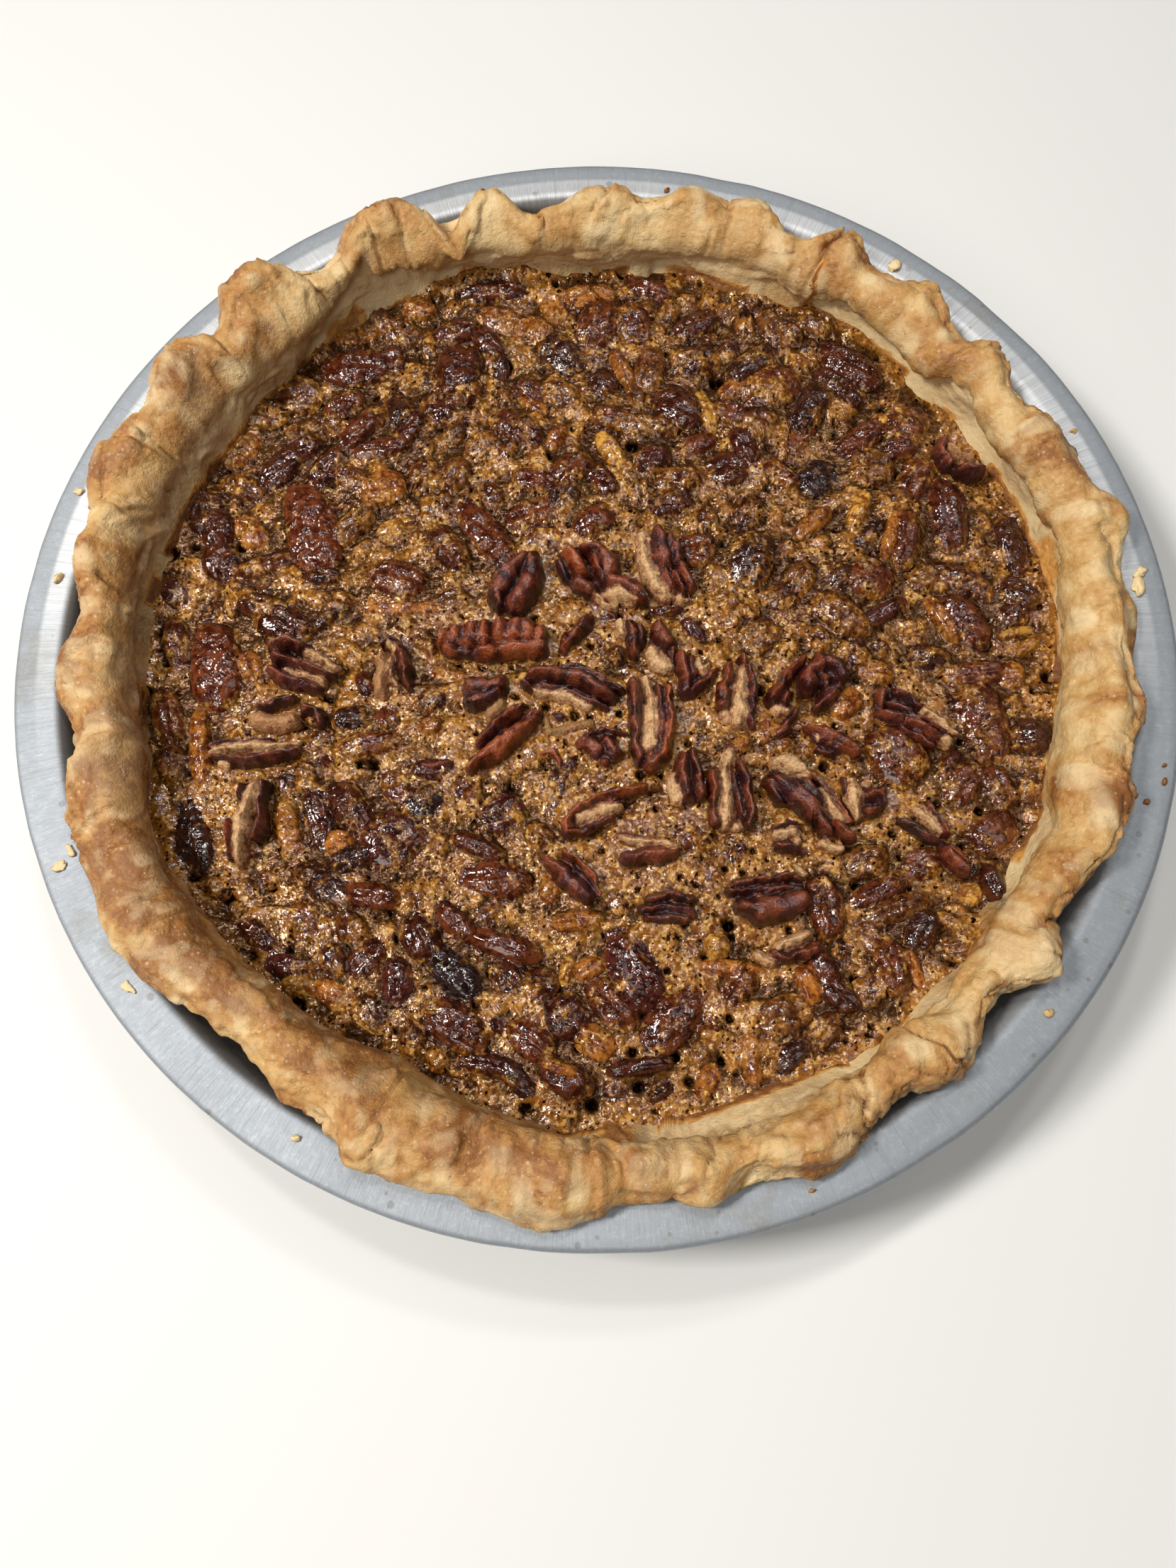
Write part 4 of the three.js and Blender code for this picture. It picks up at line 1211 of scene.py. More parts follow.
# %% Draping the foam
def drape_over_nuts(x, y):
    """The highest nut under each point, how bare it is there, and its colour."""
    heap = np.full(x.shape, -50.0)
    bare = np.zeros(x.shape)
    tint = np.zeros((*x.shape, 3)) + srgb(110, 62, 30)[:3]
    arrays = nut_arrays(all_glazed)
    for index, nut in enumerate(all_glazed):
        own = {key: value[index, 0, 0] for key, value in arrays.items()}
        near = np.nonzero(np.hypot(x - nut[0], y - nut[1]) < own["length"] * 0.6)[0]
        dx, dy = x[near] - nut[0], y[near] - nut[1]
        cosine, sine = math.cos(own["heading"]), math.sin(own["heading"])
        a = (dx * cosine + dy * sine) * 2 / own["length"]
        b = (-dx * sine + dy * cosine) * 2 / own["width"]
        back, inside = back_height(a, b, own)
        top = foam_swell(np.array(nut[0]), np.array(nut[1])) + back
        better = (inside > 0) & (top > heap[near])
        chosen = near[better]
        heap[chosen] = top[better]
        bare[chosen] = nut[7]
        tint[chosen] = np.array(NUT_COLOURS[nut[5]][:3])
    return heap, bare, tint


def soft_maximum(a, b, blend):
    gap = np.clip(0.5 + 0.5 * (a - b) / blend, 0, 1)
    return b + (a - b) * gap + blend * gap * (1 - gap)


def local_mean(height, reach=6):
    """Each point's average with its neighbours in the folded grid, a few cells each way."""
    grid = height.reshape(FOAM_CELLS + 1, FOAM_CELLS + 1)
    for axis in (0, 1):
        padded = join([grid.take([0] * reach, axis), grid, grid.take([-1] * reach, axis)], axis)
        total = np.cumsum(join([0 * padded.take([0], axis), padded], axis), axis)
        width = 2 * reach + 1
        after = total.take(range(width, total.shape[axis]), axis)
        grid = (after - total.take(range(total.shape[axis] - width), axis)) / width
    return grid.ravel()


# %% Burst bubbles
def cut_holes(x, y, height):
    """Round pits with steep walls, and how deep in one each point is."""
    rng = np.random.default_rng(SMALL_SEED)
    spin, reach = rng.random(SMALL_HOLES) * 2 * math.pi, 103 * np.sqrt(rng.random(SMALL_HOLES))
    small = circle_points(reach, rng.uniform(0.45, 0.85, SMALL_HOLES), spin)
    depth, dark = np.zeros(x.shape), np.zeros(x.shape)
    for hole_x, hole_y, size in join([np.array(HOLES), small]):
        near = np.nonzero((np.abs(x - hole_x) < size * 2) & (np.abs(y - hole_y) < size * 2))[0]
        away = np.hypot(x[near] - hole_x, y[near] - hole_y) / size
        deepest = min(2.6, 1.7 * size) * (1 if math.hypot(hole_x, hole_y) < 96 else 0.45)
        depth[near] = np.maximum(depth[near], deepest * step(1.15, 0.55, away))
        dark[near] = np.maximum(dark[near], step(1.2, 0.8, away))
    return height - depth, dark


# %% Mesh of the filling
def build_filling():
    disc_x, disc_y = folded_square(FOAM_CELLS)
    x, y = disc_x.ravel() * FOAM_REACH, disc_y.ravel() * FOAM_REACH
    spot = xyz(x, y, 0)
    swell = foam_swell(x, y)
    heap, bare, tint = drape_over_nuts(x, y)
    cover = (bare - 0.42) * 1.2 + 0.6 * noise(spot, 4.2, 64) + 0.35 * noise(spot, 1.5, 65)
    draped = heap - cover
    height = np.where(heap > -40, soft_maximum(swell, draped, 0.35), swell)
    under = np.where(heap > -40, step(1, 0.1, height - heap), 0)
    froth = 0.16 * np.abs(noise(spot, 2.4, 59)) + 0.1 * np.abs(noise(spot, 1.4, 66))
    height = height + froth * (1 - 0.5 * under)
    # Hollows in the foam, which its finish paints darker: painted shade.
    low = step(0, 0.6, local_mean(height) - height)
    height, dark = cut_holes(x, y, height)
    amber = step(0.1, 0.9, noise(spot, 11, 68) + 0.4 * noise(spot, 3, 69))
    border = edge_walk(FOAM_CELLS)
    count = len(x)
    rings, faces = [], [grid_faces(FOAM_CELLS + 1, FOAM_CELLS + 1, closed_columns=False)[:, ::-1]]
    for fall_height, inset in ((14, 6), (6.6, 11.6)):
        shrink = (FOAM_REACH - inset) / FOAM_REACH
        rings.append(xyz(x[border] * shrink, y[border] * shrink, fall_height))
    size = len(border)
    above = border
    for k in range(2):
        below = count + k * size + np.arange(size)
        faces.append(np.stack([above, np.roll(above, -1), np.roll(below, -1), below], -1)[:, ::-1])
        above = below
    pole = count + 2 * size
    faces.append(np.stack([above, np.roll(above, -1), np.full(size, pole)], -1)[:, ::-1])
    points = join([xyz(x, y, height), *rings, [(0, 0, 6.6)]])
    extra = 2 * size + 1
    marks = {"under": under * (0.35 + 0.6 * bare), "hole": dark, "amber": amber, "low": low}
    marks = {key: join([value, np.zeros(extra)]) for key, value in marks.items()}
    marks["under_tint"] = join([tint, np.zeros((extra, 3))])
    return mesh_object("syrup_filling", points, faces, marks)


filling = build_filling()
measure(filling)

# %% [markdown]
# Baked syrup foam is a skin of tiny bubbles over dark syrup. From above it is golden where
# the froth is thick, olive brown where it is thin, and peppered with open pinholes. The
# nuts in it wear the same foam in patches, under one clear glaze. The glaze is what
# shines. A pinhole swallows light, so it is given the one thing in the shader that has
# no white gloss of its own: a metal's reflection, tinted nearly black. Each bubble in the
# glaze is a shallow dome of about a millimetre's curve, which shows one white dot for each
# lamp, so the shine comes from a bump of such domes. Anything finer or steeper would only
# scatter the light into a grey haze.

# %% Glaze
def glaze_bump(tree, here, under):
    """Two sizes of bead on a slow ripple, in crowds."""
    ripple = grain(tree, here, 4, 1.7, 0.5)
    crowd = between(tree, ripple, 0.62, 0.86, 0.25, 1)
    normal = bump(tree, ripple, 1, 0.3, under)
    for size, share in ((1.8, 0.85), (0.95, 0.42)):
        normal = bead_bump(tree, here, size, share, crowd, normal)
    return normal


def wet_finish(tree, shader, here, look, colour, dull):
    """Wires the shader of a glazed thing. Dull is 1 in a pinhole or a hole."""
    relief = bump(tree, look["Relief"], 0.6, 0.16)
    wire(tree, shader.inputs, {
        "Base Color": colour,
        "Roughness": between(tree, dull, 0, 1, 0.11, 0.3),
        "Metallic": dull,
        "Normal": glaze_bump(tree, here, relief),
    })


# %% Foam and glaze colours
def make_foam():
    """Foam at a place: its colour, its relief, and where pinholes are. Amber is 1 for thin foam."""
    tree, given, put = new_group("Syrup foam", {"Amber": 0.5}, ["Foam Colour", "Relief", "Pinholes"])
    here = given["Place"]
    patches, froth = grain(tree, here, 6, 2, 0.8), grain(tree, here, 1.6, 0.6, 0.8)
    shifted = vector_call(tree, "ADD", here, times(tree, froth, 1.3 * MM))
    large, small = specks(tree, shifted, 3.2, 0.22, 0.03), specks(tree, shifted, 1.05, 0.34, 0.08)
    bubbles = specks(tree, here, 0.7)
    colour = blend_colour(tree, given["Amber"], srgb(158, 100, 32), srgb(122, 68, 14))
    zones = between(tree, grain(tree, here, 14, 4, 0.6), 0.78, 1.02, 0, 0.5)
    colour = paint(tree, colour, zones, (124, 64, 24))
    colour = paint(tree, colour, between(tree, patches, 0.93, 1.15), (88, 54, 14), 0.6)
    colour = paint(tree, colour, between(tree, bubbles["Pick"], 0.5, 1, 0, 0.6), (240, 190, 108))
    # Darker where the froth's relief is low, painted shade, and in some bubbles picked at random.
    froth_shade_and_dark_bubbles = larger(tree, between(tree, froth, 0.92, 0.6), between(tree, bubbles["Pick"], 0.25, 0))
    colour = paint(tree, colour, froth_shade_and_dark_bubbles, (66, 30, 8), 0.62)
    both = larger(tree, large["Mask"], small["Mask"])
    colour = paint(tree, colour, both, (30, 12, 5), 0.93)
    wire(tree, put, {"Foam Colour": colour, "Relief": minus(tree, froth, both), "Pinholes": both})
    return tree


FOAM = make_foam()


def make_glazed():
    """A nut of one tint under patchy foam. Bare is how much of the nut shows."""
    outputs = ["Nut Colour", "Relief", "Pinholes"]
    tree, given, put = new_group("Glazed nut", {"Amber": 0.5, "Bare": 0.5}, outputs)
    tree.interface.new_socket("Tint", in_out="INPUT", socket_type="NodeSocketColor")
    start = next(n for n in tree.nodes if n.type == "GROUP_INPUT")
    here, tint = given["Place"], start.outputs["Tint"]
    foam = use_group(tree, FOAM, {"Place": here, "Amber": given["Amber"]})
    dark = blend_colour(tree, 1, tint, srgb(140, 100, 78), "MULTIPLY")
    colour = blend_colour(tree, between(tree, grain(tree, here, 2.4, 0.8, 0.7), 0.68, 1.05), dark, tint)
    film = grain(tree, here, 4.6, 1.2, 0.55)
    covered = between(tree, minus(tree, film, times(tree, given["Bare"], 0.45)), 0.44, 0.72)
    wire(tree, put, {
        "Nut Colour": blend_colour(tree, covered, colour, foam["Foam Colour"]),
        "Relief": times(tree, foam["Relief"], covered),
        "Pinholes": times(tree, foam["Pinholes"], covered),
    })
    return tree


GLAZED = make_glazed()


def glazed_look(tree, here, amber, bare, tint):
    return use_group(tree, GLAZED, {"Place": here, "Amber": amber, "Bare": bare, "Tint": tint})


# %% Finish of the filling
def filling_finish():
    material, tree, shader = new_material("set_syrup_foam", specular_ior_level=0.65)
    here, hole = object_place(tree, upright=0.6), mark(tree, "hole")
    tint = mark(tree, "under_tint", "Color")
    look = glazed_look(tree, here, mark(tree, "amber"), mark(tree, "under"), tint)
    # The hollows are painted dark brown and lose some of their gloss: painted shade.
    low = times(tree, mark(tree, "low"), 0.8)
    colour = paint(tree, look["Nut Colour"], low, (50, 24, 8))
    colour = paint(tree, colour, hole, (18, 7, 4), 0.97)
    dull = larger(tree, larger(tree, look["Pinholes"], hole), times(tree, low, 0.7))
    wet_finish(tree, shader, here, look, colour, dull)
    return material


filling.data.materials.append(filling_finish())
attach(filling, "root")
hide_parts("filling")


# %% [markdown]
# ## Glazed nuts
# Each listed nut gets its own closed mesh at the place where the foam was lifted for it:
# rings round its section, close together on the back and few underneath, where it is
# sunk. They all join in one piece, since the baker never moves them apart.

# %% Glazed nut meshes
GLAZED_ROWS, GLAZED_BACK, GLAZED_UNDER = 19, 14, 1


def build_glazed(nuts):
    arrays = nut_arrays(nuts)
    along = -np.cos(np.linspace(0.16, math.pi - 0.16, GLAZED_ROWS))[None, :, None]
    under = np.linspace(math.pi, 2 * math.pi, GLAZED_UNDER + 2)[1:-1]
    turn = join([np.linspace(0, math.pi, GLAZED_BACK), under])
    half = (1 - np.abs(along) ** 2.6) ** (1 / 2.2)
    a, b = along + 0 * turn, half * np.cos(turn)
    a = a + 0 * arrays["x"]
    b = b + 0 * arrays["x"]
    back, _ = back_height(a, b, arrays)
    level = foam_swell(arrays["x"], arrays["y"])
    keel = level - NUT_SEAT - 2 * np.abs(np.sin(turn)) * half + arrays["tip"] * a + arrays["roll"] * b
    z = np.where(turn <= math.pi + 1e-6, level + back, keel)
    cosine, sine = np.cos(arrays["heading"]), np.sin(arrays["heading"])
    dx, dy = a * arrays["length"] / 2, b * arrays["width"] / 2
    points = xyz(arrays["x"] + dx * cosine - dy * sine, arrays["y"] + dx * sine + dy * cosine, z)
    points = points + 0.07 * noise(points, 0.9, 71)[..., None] * (0, 0, 1)
    ring = len(turn)
    tips = points[:, [0, -1]].mean(axis=2)
    per_nut = GLAZED_ROWS * ring + 2
    stacked = join([points.reshape(len(nuts), -1, 3), tips], axis=1)
    shifts = (np.arange(len(nuts)) * per_nut)[:, None, None]
    faces = [(part[None] + shifts).reshape(-1, part.shape[1]) for part in capped_faces(GLAZED_ROWS, ring)]
    rng = np.random.default_rng(5)
    tint = np.array([NUT_COLOURS[n[5]][:3] for n in nuts])[:, None, :]
    tint = np.repeat(tint * rng.uniform(0.8, 1.2, (len(nuts), 1, 1)), per_nut, axis=1).reshape(-1, 3)
    bare = np.repeat(arrays["bare"].ravel(), per_nut)
    lift = join([(z - level - arrays["rise"] * 0.4).reshape(len(nuts), -1), np.zeros((len(nuts), 2))], axis=1)
    marks = {"tint": tint, "bare": bare, "lift": step(-1, 0.8, lift.ravel())}
    return mesh_object("glazed_pecans", stacked.reshape(-1, 3), faces, marks)


glazed = build_glazed(all_glazed)
measure(glazed)


# %% Finish of the glazed nuts
def glazed_finish():
    material, tree, shader = new_material("glazed_pecan", specular_ior_level=0.65)
    here = object_place(tree, upright=0.6)
    shown = times(tree, mark(tree, "bare"), between(tree, mark(tree, "lift"), 0, 1, 0.6, 1.2))
    look = glazed_look(tree, here, 0.6, shown, mark(tree, "tint", "Color"))
    wet_finish(tree, shader, here, look, look["Nut Colour"], look["Pinholes"])
    return material


glazed.data.materials.append(glazed_finish())
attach(glazed, "root")


# %% [markdown]
# ## Nuts on top
# The last handful went on after the syrup, so these nuts are dry, each one different, and
# many are broken. A pecan half is a few fat lobes with grooves between them, and a broken
# one shows cream flesh. So each nut is written down as its lobes: a colour letter and a
# share of the nut's height, then the x, y and radius of points along the lobe. The
# surface is the highest lobe at each point, eased where two meet.

# %% Lobes of each nut
TOP_NUTS = """
01 p1: -15.6 21.6 1.9, -18.2 19.6 2.2, -20.8 16.6 2.7, -22.6 12.6 2.3, -21.6 9.9 1.4; p1: -14.6 21.6 1.9,
-14.4 18 2.4, -15.6 14 2.6, -18.2 10.4 2.3

02 c1: -5.8 23 1.7, -4.4 20.4 1.9, -2.9 18.2 1.6; n.6: -8.1 21 1.1, -7 17.6 1.2; r1: -2.4 23.9 1.4,
1.2 23 2, 3.1 20.4 2.3, 3.4 17.4 2.2; r.85: 0.2 21 1.5, 1.6 16 1.7; r.9: 3.6 15.9 2.1, 7.6 14 2.2,
10.4 11 1.5; p.7: -4.4 15.6 1.5, -1.4 13.8 1.8; w.7: 0.6 12.4 1, 1.6 10.6 1, 4.4 9.8 .8; w.8: 3 13 .9,
6 12.6 1.4, 8.4 11 1.1

03 w.6: 9.4 28.3 1; w.8: 11.2 27.6 1.5, 11.2 23 1.7, 11.8 18.6 1.7, 14 14.4 1.7, 15.8 11.9 1.3;
w.85: 12.3 25.8 1.1; p1: 14.6 27.8 1.7, 15.2 24 2.4, 15.6 20 2.4, 15 18 1.4; p.95: 17.4 26 1.8,
18.8 22.6 1.9, 19.4 20.4 1.4; r.9: 16 16.8 1.3, 16.9 13.4 1.1; r.95: 17.8 17 1.2, 19.2 13.6 1.1;
r.75: 20.2 18.6 1.5, 22 14.6 1.4; w.7: 18.8 11.2 1, 21 11.3 .8

04 c.8: -34.6 .8 1.6, -34.2 2.9 1.7; c.9: -31.6 .8 1.6, -31.4 3.6 1.8; c1: -28.4 .6 1.7, -28 4.2 1.9;
c1: -25.4 .8 1.6, -25.2 4.4 1.8; c1: -21.8 2.2 1.9, -21.4 4.6 2; c1: -18.6 2 1.7, -18 5 1.9;
c.95: -15.6 1.6 1.8, -15.4 4.4 1.9; c.8: -12.8 1 1.8, -12.9 3.2 1.9; c.75: -33.4 -1 1.2, -31.6 -1.6 1;
n.6: -30.6 -1.2 1, -28.6 -1.6 1; c.8: -26 -1.6 1.4, -22 -1.2 1.5; c.85: -22 -1 1.5, -17 -1 1.7,
-12.4 -.4 1.8

05 r.8: -7.4 -.2 1.1, -6.2 1.4 1.6; r1: -5.4 2.6 1.9, -4 4 2; r.95: -2.6 5.6 1.9, -1.6 6.8 1.2

06 w.9: 5.3 6 1.2, 5.4 3.2 1.3; p1: 7.8 4.8 1.7, 8.9 1.6 2.1, 8.2 -1.8 1.5; p.8: 9.9 5 1, 10.2 1 1

07 d1: 13.9 4.4 1.9, 14.6 2 2.3, 16.2 .4 1.9; d.8: 17.2 -1 .9, 17.4 -4 .6; w.8: 12.4 -1.6 1.5, 13.6 -3.4 2,
15.6 -4.6 1.8

08 m1: 19.2 -2.6 1.5, 19.6 -6.6 1.8, 20 -11 1.5; m.8: 20.8 -11 1.4, 23.4 -9.2 1.7, 25.8 -7 1.4,
27.2 -5.6 .9; m.9: 21.2 -3 .9, 21.6 -7 1.2; w.75: 22.6 -3.6 .8, 23.4 -6.2 1.2, 25.2 -4.4 .8

09 r.9: 29.6 -5.6 1.1, 28.4 -10 1.5, 27.8 -14.6 1.4; r1: 32.4 -3.4 1.2, 33.6 -6 .9; w.8: 32.3 -6.6 1,
31.6 -10.6 1.6, 31.8 -14.6 1.7, 31.2 -18.2 1.5; w.55: 28.4 -17 1.3; p.95: 33.8 -5.4 1, 34.4 -10 1.2,
34.4 -15 1; p.9: 33.6 -16.8 1, 34.2 -19.4 .9

10 r1: 46.2 -3.6 .8, 43.4 -6.8 1.4, 40.6 -10.4 1.7, 38.4 -13 1.6; r.85: 42.8 -11.6 1.1, 41.6 -14.2 1.5;
w.7: 39.6 -15.6 1, 41.8 -16 .9

11 m1: 50.4 -4.6 1.9, 47.6 -7 2.2, 46.6 -10.6 1.8; p1: 50.8 -4.4 1.6, 53.4 -5.4 2.1, 54 -8.4 1.6;
p.8: 50.6 -8.4 1.3, 50.8 -10.4 1; m.8: 52.2 -11.8 1.5, 50 -13.8 1.5, 48.2 -15.8 .8; n.7: 53.4 -10.6 1

12 d1: -14.2 -7 1.5, -9.6 -6.4 2, -4 -7.8 2.1, 1 -10.6 1.9, 3.6 -12.6 1.2; p.9: -8 -5 1.1, -3 -5.8 1.2,
2 -8.4 1.1, 5.6 -10.8 .9; p.8: -15.8 -8.6 1.2, -14.6 -10 .8; p.75: -12 -9 .8, -8 -10.2 .8, -4 -12 .9,
0 -13.8 .9, 2.2 -14.8 .6; w.6: -13 -10.4 1.1, -9 -11.2 1.1, -5 -12.8 1, -2 -14.2 .9

13 d1: -27.6 -10 2.3, -25 -9.6 2.6, -21.8 -9 2; p.9: -27.4 -12.8 2, -24.6 -12.4 2.2, -22.2 -10.6 1.8;
f.5: -20.8 -13 1.2, -23.6 -15.6 1.2

14 r.9: -26 -22.6 1, -23.2 -19.4 1.5, -19.6 -16.2 1.6, -16.6 -14.4 1.4; w.98: -19 -15.9 .4, -17 -14.7 .5;
c1: -27.4 -28.2 1.4, -24.4 -26 2, -20.6 -23 2, -16.6 -19.6 1.8, -13.8 -17.4 1.3; r.7: -15 -16.2 1.1,
-12.8 -15.6 .9

15 p.9: 8 -9 1.2, 8.6 -13 1.7, 8.6 -18 1.6, 8.4 -23 1.4, 9.2 -26.6 1.5; d.95: 13.6 -10 1.1, 14.2 -15 1.2,
14 -20 1.2, 13.2 -24.6 1.2, 11.4 -27 1.4; c1: 15.8 -10.6 1.1, 16.2 -16 1.3, 15.8 -22 1.4, 14.2 -26.2 1.6,
11.6 -28.6 1.3; w.75: 10.8 -8 1.2, 11.8 -12 1.4, 12 -17 1.5, 11.6 -21 1.8, 11.4 -23.8 1.7

16 m.9: -2.6 -22.4 1.9, 0 -23.6 2.2; m1: 1.8 -22.6 2, 3.4 -24.6 2; p.9: -2.6 -20.2 .6, 2 -19.2 .8,
5.8 -20.6 .7; m.7: 1.6 -27 1.3

17 r1: 46.4 -20.2 1.2, 49.6 -21.2 2, 53 -23 2.3, 55.8 -25 1.8; d.6: 48.2 -24.2 .9, 50.8 -25.6 .8;
w.98: 48 -22 .5

18 m.9: 63 -12.2 1.5, 62.6 -14.8 1.3; p1: 65.8 -11.8 1.2, 68.4 -13.4 1.2, 71 -15 .9; w.85: 72 -15.6 .8,
74.6 -17.6 1.1, 77 -19.6 .9, 79 -21 .5; p.8: 65 -14.4 1, 69 -16.6 1.1, 73 -19.2 1, 76.6 -21 .6;
m.95: 62.8 -17.2 1.4, 66.4 -17.8 1.5; r.95: 68.6 -18.4 1.4, 72 -20.4 1.4, 74.6 -22 1.1; p.7: 66.8 -20 1,
70 -22 1, 73.6 -24 .8; w.7: 76.8 -23 1.4

19 p1: 18.8 -26.6 1.5, 18.2 -30.6 1.8, 19.4 -34.8 1.7; d.95: 20.8 -25.4 1.2, 21.8 -29 1.5, 22 -34.6 1.5;
w.5: 16 -31 1.2, 17.2 -36 1.2

20 r1: 25.2 -30 1.2, 24.8 -35 1.2, 25 -41 1.2; w.75: 28.9 -26.2 1.5, 27.2 -30.2 1.2, 27.8 -35 1.4,
27.2 -41.4 1.6; p.85: 29.2 -31 .9, 30.2 -35 1, 30.6 -39 .8; d1: 31 -27.6 1, 32.2 -32 1.3, 32.8 -37 1.4,
32.6 -41.6 1.2; w.55: 30 -42 1.2; p.6: 28.8 -23.8 .9, 30.6 -24.6 .7

21 w.8: 39.4 -27.4 1.7, 42.4 -28.6 2, 45.2 -30.2 1.2; p1: 38 -31.6 1.9, 41 -34 2.4, 44.4 -36.6 2.6,
47 -39.8 2; n1: 44.6 -33 1.9, 46.8 -36 1.5; d.9: 36.4 -32.6 1.2, 38.6 -36.4 1.1; p.9: 47.4 -41 1.5,
48.6 -43.6 1.4; w.7: 48.6 -34.2 .8, 50 -37.6 1.2, 52.4 -41 1; c.7: 46.6 -30 .5, 50.2 -34.2 .5, 54 -41 .5;
r1: 51 -42.6 1.6, 53.8 -44.6 1.4; w.6: 47.6 -46.2 1.1, 51.4 -47 1

22 w.85: 55.2 -31.8 1.1, 55.4 -36 1.9, 55.8 -40 1.1; r.8: 53.6 -31.4 .8, 53.6 -34.6 .6; w.9: 58.4 -32.4 1;
d1: 58.6 -35.2 1.5, 60.8 -35 1.5, 61.4 -37 1.2; p.9: 58.4 -38.8 1.4, 60 -38.4 1.2

23 w.9: 38.8 -43.8 1.3, 41.8 -43.4 1.4; p1: 37.8 -46.6 1.1, 40.4 -46.6 1.3, 43.6 -48 .5; p.8: 37.8 -42.2 .6,
40.4 -40.9 .7, 42.6 -41 .5; w.7: 42.8 -45.6 .9

24 w.7: 69 -39 1.3, 71.6 -41.4 1.2, 73.4 -43.6 .6; r.9: 70.6 -37.4 .7, 73 -40.6 .8, 74.6 -44 .9;
n.95: 65 -41.2 .8, 68 -43 1, 71 -45 .9, 72.8 -45.8 .6; n.6: 67.4 -40.6 .5; r1: 73.8 -47.6 1.2,
75.6 -49.6 1.9, 77.6 -51.6 1.7; c.7: 75.2 -46.6 .7, 78.6 -49.6 .8

25 c1: 10.2 -33.2 .9, 5 -34 1.3, 0 -35.4 1.3, -4.4 -37.6 1.1, -6.8 -40.4 1.2, -6.6 -43 1.3;
r.85: -6.4 -43.2 1.3, -3.6 -43 1, -.6 -41 .8, 3.2 -40 .6; w.6: -4.4 -39.8 1.3, 0 -38.4 1.4, 4 -37.4 1.2;
m.8: 1 -37 .5, 5 -36 .5

26 w.9: 5 -44.4 .7, 10 -44.8 .9, 14.4 -45.4 .9, 16.4 -46 .6; c.8: 4 -43.2 .35, 9 -43.4 .4, 14 -44.2 .35;
m1: 5.8 -48.6 1.6, 9.4 -48 1.8, 13 -48.2 1.8, 15.8 -47.8 1.3

27 m1: -11.8 -49 1.2, -8.6 -51.4 2, -5.2 -54.4 2.2, -2.8 -57.2 1.5; p.55: -7.6 -48.9 .6, -4 -51.8 .8,
-1 -56 .7; c.9: -7.2 -47.2 .8, -4 -49.2 .9, -1.2 -53 .8, 0 -56.4 .5

28 d.9: 29 -54 1, 34 -53.6 1.1, 40 -53 1, 43 -54.4 .6; p.8: 27.6 -56.2 1, 33 -55.8 1, 39 -55.4 .9,
42.4 -55.9 .6; d1: 30 -59.4 1.6, 33.6 -60.4 2.7, 38.4 -59.6 2.7, 42.2 -57.9 2.2; o.97: 33.8 -57.7 .6

29 k1: 11 -57 1.1, 15 -56 1.2, 19.4 -57.8 1.2; k.95: 9.4 -59.4 1.2, 14 -59.3 1.3, 19.4 -60.4 1.3;
k.85: 10.4 -61.8 1.1, 15 -61.9 1.3, 18 -61.8 1

30 w1: 37 -67.8 1.1, 41 -66.6 1.5, 43.6 -65.2 1.3; r.9: 36.2 -68.8 .8, 38.2 -70.2 1.2, 42 -69.6 1.2,
45 -68.2 1.2; w.7: 33.2 -69.4 1.3, 35.6 -71 1.2

31 d1: -72.2 .6 1.5, -69 1.4 1.7, -65 0 1.2; w.8: -64.4 -.8 1, -61 -2.6 1.1, -57.8 -4.8 .8;
p.95: -72 -1.8 1.4, -68.4 -2.6 1.2, -63.6 -4.6 1.2, -59 -6.6 .9; w.75: -69.4 -4.6 .5, -65.4 -6.3 .7,
-60.6 -8 .8; m.9: -72.4 -5.2 1.3, -70 -7.2 1.6, -65 -8.8 1.2, -61.2 -10.2 .9

32 d1: -44.6 .8 .9, -43.3 -2.6 1.7, -42.6 -6.4 1.8, -41.7 -9.6 .8; p.8: -48.2 1.4 .5, -46.5 2.6 .5,
-45 2.2 .4; w.75: -46.8 1.2 .9, -46 0 .8; t.8: -48 -2.4 1.4, -48 -6.4 1.8, -47.7 -10.4 1.5; w1: -46 -2 .45,
-46.6 -4.2 .45, -45.9 -6.8 .45, -44.8 -9 .45, -44.6 -11 .35

33 t.9: -75.4 -16.6 1.6, -71.4 -17.6 1.8, -67.4 -16.4 1.8; k1: -74.4 -13.6 1.2, -71.4 -12.8 1.5,
-67.6 -12 1.2; p.9: -64.6 -13.6 1.2, -61.8 -14.8 1.3, -61.2 -17.6 1.1

34 w.85: -85.4 -23.8 .8, -80 -23 1.1, -77.4 -22.6 1.2, -72 -22.8 1.1, -66 -21.8 .8; p.9: -85.6 -22.3 .5,
-79 -21.4 .5, -72 -21.2 .5; p1: -84.4 -25 .5, -80 -26.2 1.2, -75 -26 1.4, -70 -25.2 1.2, -66.2 -23.8 .8;
w.6: -82.4 -26.8 .8, -81.2 -28 .5

35 w.9: -75 -31.4 1.2, -75.2 -35 1.5, -77 -39.4 1.9, -76.8 -44 1.9, -76.6 -48.4 1.3; r.9: -77.4 -31.6 1,
-77.4 -33.8 .8; p1: -72.6 -31 .9, -72.8 -36 1, -72.4 -41 1.3, -73.2 -43 1.1; d.7: -73.6 -46.8 .8;
c.8: -80.4 -40 .7, -80 -44 .6, -79 -48 .5

36 r.9: 82.8 51.2 1.4, 81.4 48 1.3, 83.2 45.2 1.5; t.95: 84.4 50 1.1, 86 47.4 1.2, 89 46.8 1.3;
p1: 86 43.6 1.6, 88.8 42.6 2, 91 43.4 1.2; t.7: 90.6 45.8 .7, 92.4 42.6 .6
"""
# How strongly a nut is wrinkled, where it isn't as the others are.
WRINKLED = {"01": 0.2, "04": 0.26, "05": 0.24, "11": 0.24, "17": 0.2, "29": 0.3}
USUAL_WRINKLE = 0.22
